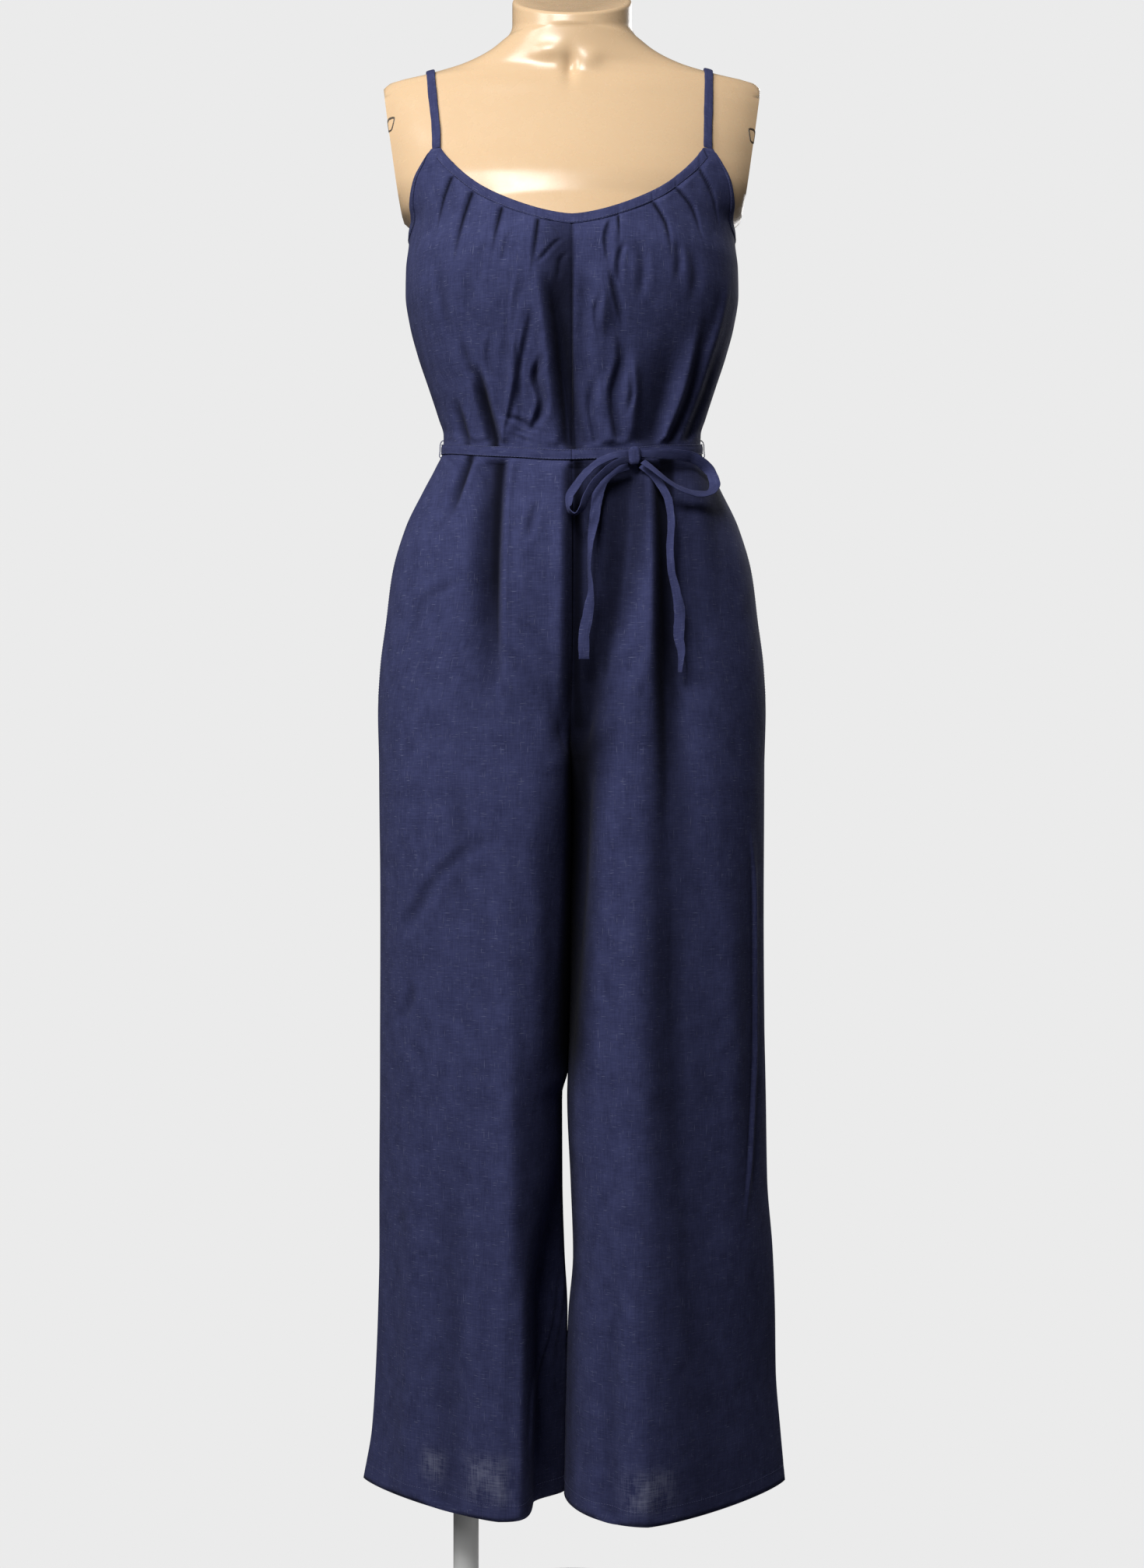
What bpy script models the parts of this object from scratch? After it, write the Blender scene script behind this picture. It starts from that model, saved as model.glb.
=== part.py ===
"""A strappy wide-leg jumpsuit, worn by a limbless dress form on a pole and a round base plate.

Metres, +Z up, the floor at z = 0. The front faces -Y. Left and right are the wearer's: left is at +X.
A point of the cloth is found from the angle round the body (0 at the front, 90 degrees at the side seam)
and its level, the height that it would have at the side seam. The panels are lofted walls between an
outer and an inner grid of such points. Bands, straps and the tie are ribbons with a Solidify wall.
"""

from collections import namedtuple

import bmesh
import bpy
import numpy as np

for old in list(bpy.data.objects):
    bpy.data.objects.remove(old, do_unlink=True)

# ---------------------------------------------------------------- driving sizes
LEFT, RIGHT = 1, -1
SEAM_GAP = 0.0003
WALL_EDGE = SEAM_GAP / 2
WALL = 0.0016
HEM = 0.150
CROTCH = 0.860
CROTCH_START = 0.950  # where the centre seams begin to turn under
LEG_START = 1.020  # away from the centre, the body's shape turns into the leg's from here
LEG_FULL = 0.640  # to here
WAIST = 1.170  # level of the waist at the side seams
WAIST_DIP = 0.020  # how much lower the waist lies at centre front, and half of it higher at the back
WAIST_SPREAD = 0.075  # how far above and below the waist the dip is felt
UNDERARM = 1.383
STRAP_SEAT = 1.449  # top of the bodice, where a strap starts
NECK_FRONT = 1.371  # neckline at centre front
NECK_HALF = 0.1255  # half width of the neckline, up to the strap
SEAT_WIDTH = 0.0095
NECK_BACK = 1.398
SEAT_BACK = 1.412
SEAT_BACK_X = 0.100
SEAT_BACK_Y_IN, SEAT_BACK_Y_OUT = 0.092, 0.088  # how far back the back seat's two ends lie
BODY_CLEAR = 0.0038  # least distance from the form to the outside of the cloth
BODY_BEND = 0.004  # how softly the cloth turns where it comes down to that distance
SIDE_REACH = 0.160  # half width of the bodice at its side seams
LEG_CENTRE = 0.095  # a leg's folds stand out from this distance from the centre plane
BAND_WIDTH = 0.010
BAND_WALL = 0.0012
BAND_OVER = 0.0002  # how far a band stands over the bodice's edge
LAY = 0.0004  # gap between a piece and the one that it lies on
BAND_LAY = 0.0010  # the same for the bands, over the pleats and the armhole's bend
TIE_LAY = 0.0009  # for the tie, over the waist seam
STRAP_LAY = 0.0012  # for the straps, over the shoulder
KNOT_LAY = 0.0012  # for the knot, over the tie
TIE_FLAT, TIE_RISE = 0.001, 0.016  # folds are flat this far past the tie's edges, and full so much further
TIE_WIDTH = 0.0115
TIE_WALL = 0.0016
STRAP_WIDTH = 0.009
STRAP_WALL = 0.0018
POCKET_TOP = 1.076
POCKET_BOTTOM = 0.922
FACING_WALL = 0.0010
BASE_RADIUS = 0.160
BASE_THICK = 0.008
BASE_Y = -0.010
POLE_RADIUS = 0.0125
POLE_X = -0.105
POLE_Y = 0.005

# ---------------------------------------------------------------- sections
Section = namedtuple("Section", "z half_width front back power")
FORM = [
    Section(0.9050, 0.1500, 0.070, 0.088, 2.4),
    Section(0.9080, 0.1590, 0.079, 0.098, 2.4),
    Section(0.9170, 0.1640, 0.086, 0.107, 2.4),
    Section(0.9350, 0.1675, 0.092, 0.116, 2.4),
    Section(0.9600, 0.1680, 0.096, 0.121, 2.35),
    Section(1.0000, 0.1640, 0.098, 0.117, 2.3),
    Section(1.0500, 0.1540, 0.096, 0.105, 2.25),
    Section(1.1000, 0.1380, 0.089, 0.090, 2.2),
    Section(1.1500, 0.1190, 0.079, 0.078, 2.15),
    Section(1.1800, 0.1140, 0.076, 0.076, 2.1),
    Section(1.2200, 0.1190, 0.080, 0.080, 2.1),
    Section(1.2700, 0.1340, 0.092, 0.087, 2.15),
    Section(1.3100, 0.1450, 0.110, 0.091, 2.2),
    Section(1.3380, 0.1490, 0.116, 0.093, 2.2),
    Section(1.3650, 0.1500, 0.110, 0.094, 2.2),
    Section(1.3820, 0.1530, 0.104, 0.095, 2.2),
    Section(1.3900, 0.1600, 0.101, 0.0952, 2.15),
    Section(1.3980, 0.1690, 0.098, 0.0955, 2.1),
    Section(1.4080, 0.1750, 0.096, 0.0955, 2.1),
    Section(1.4200, 0.1800, 0.093, 0.0955, 2.1),
    Section(1.4350, 0.1840, 0.087, 0.095, 2.05),
    Section(1.4500, 0.1870, 0.080, 0.094, 2.0),
    Section(1.4800, 0.1910, 0.067, 0.089, 1.95),
    Section(1.5050, 0.1910, 0.057, 0.080, 1.85),
    Section(1.5200, 0.1890, 0.051, 0.072, 1.7),
    Section(1.5300, 0.1820, 0.047, 0.066, 1.6),
    Section(1.5380, 0.1500, 0.046, 0.062, 1.6),
    Section(1.5480, 0.1120, 0.047, 0.058, 1.75),
    Section(1.5600, 0.0850, 0.048, 0.056, 1.9),
    Section(1.5720, 0.0680, 0.049, 0.054, 2.0),
]
NECK_RADIUS_X = 0.0590
NECK_FRONT_RADIUS = 0.050
NECK_BACK_RADIUS = 0.054
NECK_CUT_FRONT = 1.585
NECK_CUT_SLOPE = 0.60
ARM_CUT_LOW = Section(1.3915, 0.1660, 0, 0, 0)
ARM_CUT_HIGH = Section(1.5215, 0.1854, 0, 0, 0)

CLOTH = [
    Section(0.860, 0.1895, 0.116, 0.126, 2.3),
    Section(0.907, 0.1910, 0.119, 0.131, 2.3),
    Section(0.953, 0.1885, 0.121, 0.133, 2.3),
    Section(0.999, 0.1827, 0.121, 0.130, 2.3),
    Section(1.045, 0.1770, 0.119, 0.123, 2.25),
    Section(1.092, 0.1638, 0.112, 0.112, 2.2),
    Section(1.130, 0.1455, 0.103, 0.102, 2.15),
    Section(1.153, 0.1335, 0.096, 0.094, 2.1),
    Section(1.170, 0.1262, 0.090, 0.088, 2.1),
    Section(1.184, 0.1262, 0.091, 0.089, 2.1),
    Section(1.200, 0.1310, 0.094, 0.090, 2.1),
    Section(1.230, 0.1410, 0.102, 0.093, 2.15),
    Section(1.261, 0.1515, 0.112, 0.097, 2.2),
    Section(1.292, 0.1596, 0.122, 0.100, 2.2),
    Section(1.320, 0.1635, 0.127, 0.101, 2.2),
    Section(1.345, 0.1630, 0.126, 0.101, 2.2),
    Section(1.370, 0.1600, 0.115, 0.101, 2.2),
    Section(1.395, 0.1585, 0.106, 0.100, 2.2),
    Section(1.430, 0.1650, 0.090, 0.099, 2.1),
    Section(1.460, 0.1700, 0.078, 0.097, 2.0),
]

# A leg's section is two rounded corners, one from the inseam to the ridge and one on to the side seam.
# inner and outer are distances from the centre plane, ridge is where the section is deepest.
Leg = namedtuple("Leg", "z inner outer ridge front back inner_y outer_y power_in power_out")
LEG = {
    LEFT: [
        Leg(0.860, 0.0015, 0.1890, 0.078, 0.117, 0.127, 0.000, 0.000, 2.1, 2.1),
        Leg(0.750, 0.0006, 0.1890, 0.080, 0.112, 0.118, -0.005, 0.000, 2.0, 1.9),
        Leg(0.600, -0.0028, 0.1900, 0.080, 0.111, 0.108, -0.012, 0.000, 1.9, 1.7),
        Leg(0.560, -0.0043, 0.1910, 0.080, 0.112, 0.106, -0.014, 0.001, 1.9, 1.65),
        Leg(0.535, -0.0050, 0.1915, 0.080, 0.112, 0.104, -0.015, 0.001, 1.85, 1.6),
        Leg(0.450, -0.0015, 0.1930, 0.079, 0.114, 0.100, -0.018, 0.002, 1.8, 1.55),
        Leg(0.380, 0.0008, 0.1985, 0.078, 0.116, 0.096, -0.021, 0.003, 1.8, 1.5),
        Leg(0.320, -0.0012, 0.2010, 0.076, 0.118, 0.094, -0.023, 0.004, 1.75, 1.4),
        Leg(0.260, -0.0050, 0.2020, 0.074, 0.120, 0.092, -0.025, 0.006, 1.7, 1.35),
        Leg(0.200, -0.0070, 0.2068, 0.072, 0.121, 0.090, -0.027, 0.008, 1.7, 1.3),
        Leg(0.150, -0.0080, 0.2115, 0.070, 0.122, 0.088, -0.028, 0.009, 1.7, 1.25),
    ],
    RIGHT: [
        Leg(0.860, 0.0015, 0.1905, 0.078, 0.117, 0.127, 0.000, 0.000, 2.1, 2.1),
        Leg(0.750, 0.0012, 0.1890, 0.078, 0.113, 0.118, -0.004, 0.000, 2.0, 1.9),
        Leg(0.600, 0.0036, 0.1895, 0.076, 0.110, 0.108, -0.006, 0.000, 2.0, 1.7),
        Leg(0.560, 0.0050, 0.1898, 0.076, 0.110, 0.106, -0.006, 0.002, 2.05, 1.65),
        Leg(0.535, 0.0095, 0.1900, 0.076, 0.110, 0.104, -0.006, 0.003, 2.1, 1.6),
        Leg(0.450, 0.0092, 0.1908, 0.076, 0.110, 0.100, -0.005, 0.005, 2.2, 1.5),
        Leg(0.380, 0.0072, 0.1910, 0.075, 0.109, 0.096, -0.004, 0.007, 2.3, 1.45),
        Leg(0.320, 0.0056, 0.1925, 0.075, 0.109, 0.094, -0.003, 0.009, 2.4, 1.4),
        Leg(0.260, 0.0058, 0.1950, 0.075, 0.108, 0.092, -0.002, 0.011, 2.5, 1.35),
        Leg(0.200, 0.0080, 0.1990, 0.074, 0.108, 0.090, 0.000, 0.013, 2.6, 1.3),
        Leg(0.150, 0.0086, 0.2077, 0.074, 0.108, 0.088, 0.000, 0.015, 2.6, 1.25),
    ],
}
INNER_SHARE = 0.38  # share of a leg panel's width that lies between the inseam and the ridge

# ---------------------------------------------------------------- folds
# A fold runs from (x0, z0) to (x1, z1) in the front view, bows sideways by bow, is width wide each
# side of its line and stands out by height (a trough where it is negative). start and end are the
# shares of its length over which it rises and fades.
Fold = namedtuple("Fold", "x0 z0 x1 z1 bow width height start end")
FRONT_FOLDS = [
    # bodice, drawn together by the tie
    Fold(-0.092, 1.240, -0.069, 1.162, 0.003, 0.009, -0.0050, 0.50, 0.15),
    Fold(-0.122, 1.230, -0.098, 1.166, 0.002, 0.008, -0.0040, 0.50, 0.15),
    Fold(-0.080, 1.215, -0.084, 1.166, 0.000, 0.008, 0.0035, 0.50, 0.15),
    Fold(-0.055, 1.225, -0.068, 1.158, 0.003, 0.008, 0.0040, 0.50, 0.15),
    Fold(-0.027, 1.322, 0.004, 1.154, 0.006, 0.012, -0.0040, 0.60, 0.15),
    Fold(-0.036, 1.235, -0.034, 1.162, 0.001, 0.006, 0.0025, 0.50, 0.20),
    Fold(0.073, 1.262, 0.061, 1.162, 0.000, 0.011, -0.0045, 0.60, 0.15),
    Fold(0.046, 1.245, 0.040, 1.158, 0.002, 0.008, 0.0025, 0.60, 0.15),
    Fold(0.120, 1.270, 0.078, 1.160, -0.004, 0.009, 0.0040, 0.60, 0.15),
    Fold(0.128, 1.262, 0.096, 1.166, -0.003, 0.008, -0.0040, 0.60, 0.15),
    # trousers, let out below the tie
    Fold(-0.068, 1.146, -0.088, 0.900, -0.004, 0.012, -0.0055, 0.08, 0.80),
    Fold(-0.100, 1.150, -0.118, 1.090, 0.000, 0.008, -0.0040, 0.15, 0.70),
    Fold(-0.084, 1.148, -0.105, 0.980, 0.003, 0.012, 0.0040, 0.10, 0.80),
    Fold(-0.040, 1.140, -0.048, 0.900, 0.002, 0.016, 0.0045, 0.10, 0.80),
    Fold(0.004, 1.140, 0.002, 0.930, 0.000, 0.010, -0.0040, 0.10, 0.60),
    Fold(0.040, 1.138, 0.046, 0.860, 0.003, 0.016, 0.0045, 0.10, 0.70),
    Fold(0.076, 1.142, 0.091, 0.840, -0.002, 0.013, -0.0060, 0.08, 0.80),
    Fold(0.100, 1.148, 0.125, 0.960, 0.002, 0.013, 0.0040, 0.10, 0.80),
    Fold(-0.011, 0.834, -0.133, 0.752, -0.004, 0.010, 0.0025, 0.30, 0.40),
    Fold(-0.101, 1.026, -0.153, 0.979, 0.003, 0.009, 0.0025, 0.30, 0.40),
]
BACK_FOLDS = [
    Fold(-0.090, 1.260, -0.070, 1.178, 0.003, 0.010, -0.0040, 0.50, 0.15),
    Fold(-0.040, 1.280, -0.034, 1.182, 0.002, 0.010, 0.0030, 0.50, 0.15),
    Fold(0.010, 1.270, 0.004, 1.182, 0.002, 0.011, -0.0035, 0.50, 0.15),
    Fold(0.048, 1.290, 0.040, 1.180, 0.000, 0.010, 0.0030, 0.50, 0.15),
    Fold(0.094, 1.250, 0.074, 1.176, -0.003, 0.010, -0.0040, 0.50, 0.15),
    Fold(-0.072, 1.150, -0.092, 0.900, -0.003, 0.014, -0.0050, 0.08, 0.80),
    Fold(-0.030, 1.155, -0.040, 0.920, 0.002, 0.015, 0.0035, 0.10, 0.80),
    Fold(0.036, 1.155, 0.044, 0.900, 0.002, 0.015, 0.0035, 0.10, 0.80),
    Fold(0.078, 1.150, 0.096, 0.880, -0.002, 0.014, -0.0050, 0.08, 0.80),
]
# Pleats pressed into the front neckline, by their angle round the body.
Pleat = namedtuple("Pleat", "angle depth half_angle length")
PLEATS = {
    LEFT: [
        Pleat(23.0, 0.0022, 1.8, 0.050),
        Pleat(38.5, 0.0030, 1.8, 0.075),
        Pleat(51.0, 0.0032, 1.8, 0.080),
        Pleat(61.0, 0.0026, 1.8, 0.060),
    ],
    RIGHT: [
        Pleat(17.0, 0.0026, 1.8, 0.095),
        Pleat(34.0, 0.0034, 1.8, 0.070),
        Pleat(49.0, 0.0040, 1.8, 0.090),
        Pleat(59.0, 0.0034, 1.8, 0.075),
    ],
}
PLEAT_START = 0.0105  # the pleats are stitched flat down to here below the neckline


def smooth_between(places, values, at):
    """A smooth curve through a table's values that never overshoots them."""
    places, values = np.asarray(places, float), np.asarray(values, float)
    step = np.diff(places)
    rise = np.diff(values) / step
    slope = np.zeros(len(values))
    slope[0], slope[-1] = rise[0], rise[-1]
    product = rise[:-1] * rise[1:]
    total = np.where(product > 0, rise[:-1] + rise[1:], 1.0)
    slope[1:-1] = np.where(product > 0, 2 * product / total, 0.0)
    k = np.clip(np.searchsorted(places, at, side="right") - 1, 0, len(step) - 1)
    t = np.clip((at - places[k]) / step[k], 0.0, 1.0)
    return (
        values[k] * (1 + 2 * t) * (1 - t) ** 2
        + slope[k] * step[k] * t * (1 - t) ** 2
        + values[k + 1] * t * t * (3 - 2 * t)
        + slope[k + 1] * step[k] * t * t * (t - 1)
    )


def column(rows, name, z):
    """One column of a table at height z."""
    ordered = sorted(rows, key=lambda row: row.z)
    return smooth_between([row.z for row in ordered], [getattr(row, name) for row in ordered], z)


def ease(t):
    """From 0 to 1 and level at both ends."""
    t = np.clip(t, 0.0, 1.0)
    return t * t * (3 - 2 * t)


def section_radius(rows, angle, z):
    """Distance from the axis to a rounded section, in the direction of an angle."""
    wide = column(rows, "half_width", z)
    deep = np.where(np.cos(angle) >= 0, column(rows, "front", z), column(rows, "back", z))
    power = column(rows, "power", z)
    total = np.abs(np.sin(angle) / wide) ** power + np.abs(np.cos(angle) / deep) ** power
    return total ** (-1 / power)


def arm_cut(z):
    """Half width of the form at the flat cut where an arm would start."""
    rate = (ARM_CUT_HIGH.half_width - ARM_CUT_LOW.half_width) / (ARM_CUT_HIGH.z - ARM_CUT_LOW.z)
    return ARM_CUT_LOW.half_width + rate * (z - ARM_CUT_LOW.z)


def form_radius(angle, z):
    radius = section_radius(FORM, angle, z)
    return np.minimum(radius, arm_cut(z) / np.maximum(np.abs(np.sin(angle)), 1e-6))


def fold_height(folds, x, z):
    """How far the cloth stands out, at a point of the front or back view."""
    height = np.zeros_like(x)
    for fold in folds:
        run = np.array([fold.x1 - fold.x0, fold.z1 - fold.z0])
        length = np.hypot(*run)
        along = ((x - fold.x0) * run[0] + (z - fold.z0) * run[1]) / length**2
        aside = ((x - fold.x0) * run[1] - (z - fold.z0) * run[0]) / length
        aside = aside - fold.bow * 4 * along * (1 - along)
        taper = ease(along / fold.start) * ease((1 - along) / fold.end)
        height += fold.height * taper * np.exp(-((aside / fold.width) ** 2))
    return height


def drop(angle, level):
    """How much lower than its level a point lies, because the waist dips at the front."""
    near_waist = np.exp(-(((level - WAIST) / WAIST_SPREAD) ** 2))
    return WAIST_DIP * np.cos(angle) * np.where(np.cos(angle) > 0, 1.0, 0.5) * near_waist


def torso(side, angle, level, front, inset=0.0):
    """A point of the cloth above the crotch: front pieces at angles to 90 degrees, back pieces past it.
    inset is the depth below the cloth's outside."""
    z = level - drop(angle, level)
    plain = section_radius(CLOTH, angle, level)
    x = side * plain * np.sin(angle)
    at_tie = ease((np.abs(level - WAIST) - TIE_WIDTH / 2 - TIE_FLAT) / TIE_RISE)
    at_edges = ease(np.abs(np.sin(2 * angle)) / 0.10)
    height = fold_height(FRONT_FOLDS if front else BACK_FOLDS, x, z)
    radius = plain + height * at_tie * at_edges
    least = form_radius(angle, z) + BODY_CLEAR
    radius = 0.5 * (radius + least + np.sqrt((radius - least) ** 2 + BODY_BEND**2)) - inset
    return np.stack([side * radius * np.sin(angle), -radius * np.cos(angle), z], axis=-1)


def leg_section(side, share, level, front, inset):
    """A leg's section without folds, as distances from the centre plane and from the side seams."""
    rows = LEG[side]
    inner, outer = column(rows, "inner", level) + inset, column(rows, "outer", level) - inset
    inner_y, outer_y = column(rows, "inner_y", level), column(rows, "outer_y", level)
    power_in, power_out = column(rows, "power_in", level), column(rows, "power_out", level)
    ridge = column(rows, "ridge", level)
    deep = inset - column(rows, "front", level) if front else column(rows, "back", level) - inset
    turn_in = np.clip(share / INNER_SHARE, 0, 1) * np.pi / 2
    turn_out = np.clip((share - INNER_SHARE) / (1 - INNER_SHARE), 0, 1) * np.pi / 2
    x_in = ridge + (inner - ridge) * np.abs(np.cos(turn_in)) ** (2 / power_in)
    y_in = inner_y + (deep - inner_y) * np.abs(np.sin(turn_in)) ** (2 / power_in)
    x_out = ridge + (outer - ridge) * np.abs(np.sin(turn_out)) ** (2 / power_out)
    y_out = outer_y + (deep - outer_y) * np.abs(np.cos(turn_out)) ** (2 / power_out)
    inside = share < INNER_SHARE
    return np.where(inside, x_in, x_out), np.where(inside, y_in, y_out)


def leg(side, share, level, front, inset=0.0):
    """A point of a leg: share 0 at the inseam, 1 at the side seam."""
    x, y = leg_section(side, share, level, front, 0.0)
    height = fold_height(FRONT_FOLDS if front else BACK_FOLDS, side * x, level)
    height = height * ease(share / 0.25) * ease((1 - share) / 0.1)
    away_x, away_y = x - LEG_CENTRE, y
    away = np.hypot(away_x, away_y)
    x, y = leg_section(side, share, level, front, inset)
    return np.stack([side * (x + height * away_x / away), y + height * away_y / away, level], axis=-1)


def trouser(side, share, level, front, inset=0.0):
    """A point of a trouser piece, from the centre or inseam (share 0) to the side seam (share 1)."""
    angle = share * np.pi / 2 if front else np.pi - share * np.pi / 2
    turn = np.clip((CROTCH_START - level) / (CROTCH_START - CROTCH), 0, 1)
    legness = 1 - np.sqrt(1 - turn**2)
    at_side = ease((LEG_START - level) / (LEG_START - LEG_FULL))
    legness = legness + (at_side - legness) * ease(share / 0.36)
    above = torso(side, angle, np.maximum(level, CROTCH), front, inset)
    below = leg(side, share, level, front, inset)
    point = above + (below - above) * legness[..., None]
    point[..., 2] = np.where(level < CROTCH, level, point[..., 2])
    point[..., 0] += side * WALL_EDGE
    return point


def solve_angle(x, z):
    """The angle of the front cloth at a distance x from the centre, at height z."""
    low, high = np.zeros_like(x), np.full_like(x, np.pi / 2)
    for _ in range(40):
        middle = 0.5 * (low + high)
        reach = torso(LEFT, middle, z, True)[..., 0]
        low = np.where(reach < x, middle, low)
        high = np.where(reach < x, high, middle)
    return 0.5 * (low + high)


def neckline(x):
    """Height of the front neckline at a distance from the centre."""
    share = np.clip(x / NECK_HALF, 0, 1)
    return NECK_FRONT + (STRAP_SEAT - NECK_FRONT) * (0.76 * share**1.6 + 0.24 * share**6)


SEAT_IN = float(solve_angle(np.array([NECK_HALF]), np.array([STRAP_SEAT]))[0])
SEAT_OUT = float(solve_angle(np.array([NECK_HALF + SEAT_WIDTH]), np.array([STRAP_SEAT]))[0])
BACK_SEAT_IN = np.pi - np.arctan2(SEAT_BACK_X - SEAT_WIDTH / 2, SEAT_BACK_Y_IN)
BACK_SEAT_OUT = np.pi - np.arctan2(SEAT_BACK_X + SEAT_WIDTH / 2, SEAT_BACK_Y_OUT)


def front_top(angle):
    """Level of the front bodice's upper edge: neckline, strap seat, armhole."""
    z = np.full_like(angle, NECK_FRONT)
    for _ in range(8):
        z = neckline(torso(LEFT, angle, z, True)[..., 0])
    down = np.clip((angle - SEAT_OUT) / (np.pi / 2 - SEAT_OUT), 0, 1)
    armhole = UNDERARM + (STRAP_SEAT - UNDERARM) * (1 - down) ** 4
    return np.where(angle < SEAT_IN, z, np.where(angle < SEAT_OUT, STRAP_SEAT, armhole))


def back_top(angle):
    """Level of the back bodice's upper edge: armhole, strap seat, back neckline."""
    up = np.clip((angle - np.pi / 2) / (BACK_SEAT_OUT - np.pi / 2), 0, 1)
    armhole = UNDERARM + (SEAT_BACK - UNDERARM) * up**2.5
    across = np.clip((np.pi - angle) / (np.pi - BACK_SEAT_IN), 0, 1)
    middle = NECK_BACK + (SEAT_BACK - NECK_BACK) * across**2
    return np.where(angle > BACK_SEAT_IN, middle, np.where(angle > BACK_SEAT_OUT, SEAT_BACK, armhole))


def pleat_height(side, angle, below):
    """Pressed pleats: a trough beside a soft ridge, fading out below the neckline."""
    height = np.zeros_like(angle)
    for pleat in PLEATS[side]:
        aside = (np.degrees(angle) - pleat.angle) / pleat.half_angle
        fade = ease((below - PLEAT_START) / 0.010) * ease((pleat.length - below) / (0.8 * pleat.length))
        wave = np.exp(-(aside**2)) - 0.6 * np.exp(-((aside / 2 + 1.2) ** 2))
        height -= pleat.depth * fade * wave
    return height


def bodice_front(side, angle, level, inset=0.0):
    """A point of a front bodice piece with its neckline pleats."""
    point = torso(side, angle, level, True, inset)
    below = front_top(angle) - level
    out = np.stack([side * np.sin(angle), -np.cos(angle), np.zeros_like(angle)], axis=-1)
    point = point + out * pleat_height(side, angle, below)[..., None]
    point[..., 0] += side * WALL_EDGE
    return point


def moved_out(points, distance):
    """The points moved along the outward normals of their own grid."""
    across = np.gradient(points, axis=0)
    down = np.gradient(points, axis=1)
    normal = np.cross(across, down)
    normal /= np.linalg.norm(normal, axis=-1, keepdims=True)
    middle = points.mean(axis=(0, 1)) * np.array([0.0, 0.0, 1.0])
    if ((points - middle) * normal)[..., :2].sum() < 0:
        normal = -normal
    return points + normal * distance


# ---------------------------------------------------------------- meshes
COLLECTION = bpy.data.collections.new("jumpsuit_on_dress_form")
bpy.context.scene.collection.children.link(COLLECTION)


def make_material(name, colour, roughness):
    material = bpy.data.materials.new(name)
    material.use_nodes = True
    shader = material.node_tree.nodes["Principled BSDF"]
    shader.inputs["Base Color"].default_value = (*colour, 1.0)
    shader.inputs["Roughness"].default_value = roughness
    return material


LINEN = make_material("navy_linen", (0.024, 0.028, 0.085), 0.85)
SKIN_PLASTIC = make_material("form_plastic", (0.80, 0.60, 0.38), 0.28)
STAND_PAINT = make_material("stand_paint", (0.84, 0.84, 0.83), 0.45)


def add_object(name, mesh, material):
    mesh.materials.append(material)
    made = bpy.data.objects.new(name, mesh)
    COLLECTION.objects.link(made)
    return made


def sheet(name, points, wall, offset, closed=False, facing=(0, 0, 0)):
    """A cloth sheet through a grid of points, as a wall. offset -1 puts the wall behind the grid, 1 in
    front of it and 0 on both sides. facing is a point that the back of the sheet looks at."""
    rows, columns = points.shape[:2]
    last = rows if closed else rows - 1
    faces = [
        (i * columns + j, (i + 1) % rows * columns + j, (i + 1) % rows * columns + j + 1, i * columns + j + 1)
        for i in range(last)
        for j in range(columns - 1)
    ]
    flat = points.reshape(-1, 3)
    corners = flat[np.array(faces)]
    normal = np.cross(corners[:, 2] - corners[:, 0], corners[:, 3] - corners[:, 1])
    outward = (corners.mean(axis=1) - np.array(facing)) * np.array([1.0, 1.0, 0.0])
    if (normal * outward).sum() < 0:
        faces = [face[::-1] for face in faces]
    mesh = bpy.data.meshes.new(name)
    mesh.from_pydata(flat.tolist(), [], faces)
    mesh.update()
    mesh.shade_smooth()
    made = add_object(name, mesh, LINEN)
    solid = made.modifiers.new("wall", "SOLIDIFY")
    solid.thickness = wall
    solid.offset = offset
    return made


def walled(name, outside, inside):
    """A cloth piece lofted between its outside and its inside, whose edges stay square to the seams."""
    rows, columns = outside.shape[:2]
    count = rows * columns
    grid = np.arange(count).reshape(rows, columns)
    faces = []
    for i in range(rows - 1):
        for j in range(columns - 1):
            square = (grid[i, j], grid[i + 1, j], grid[i + 1, j + 1], grid[i, j + 1])
            faces.append(square)
            faces.append(tuple(count + k for k in square[::-1]))
    rim = [*grid[:, 0], *grid[-1, 1:], *grid[-2::-1, -1], *grid[0, -2:0:-1]]
    faces += [(b, a, count + a, count + b) for a, b in zip(rim, rim[1:] + rim[:1])]
    mesh = bpy.data.meshes.new(name)
    points = np.concatenate([outside.reshape(-1, 3), inside.reshape(-1, 3)])
    mesh.from_pydata(points.tolist(), [], [tuple(int(k) for k in face) for face in faces])
    shell = bmesh.new()
    shell.from_mesh(mesh)
    bmesh.ops.recalc_face_normals(shell, faces=shell.faces)
    shell.to_mesh(mesh)
    shell.free()
    mesh.shade_smooth()
    mesh.set_sharp_from_angle(angle=np.radians(50))
    return add_object(name, mesh, LINEN)


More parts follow.
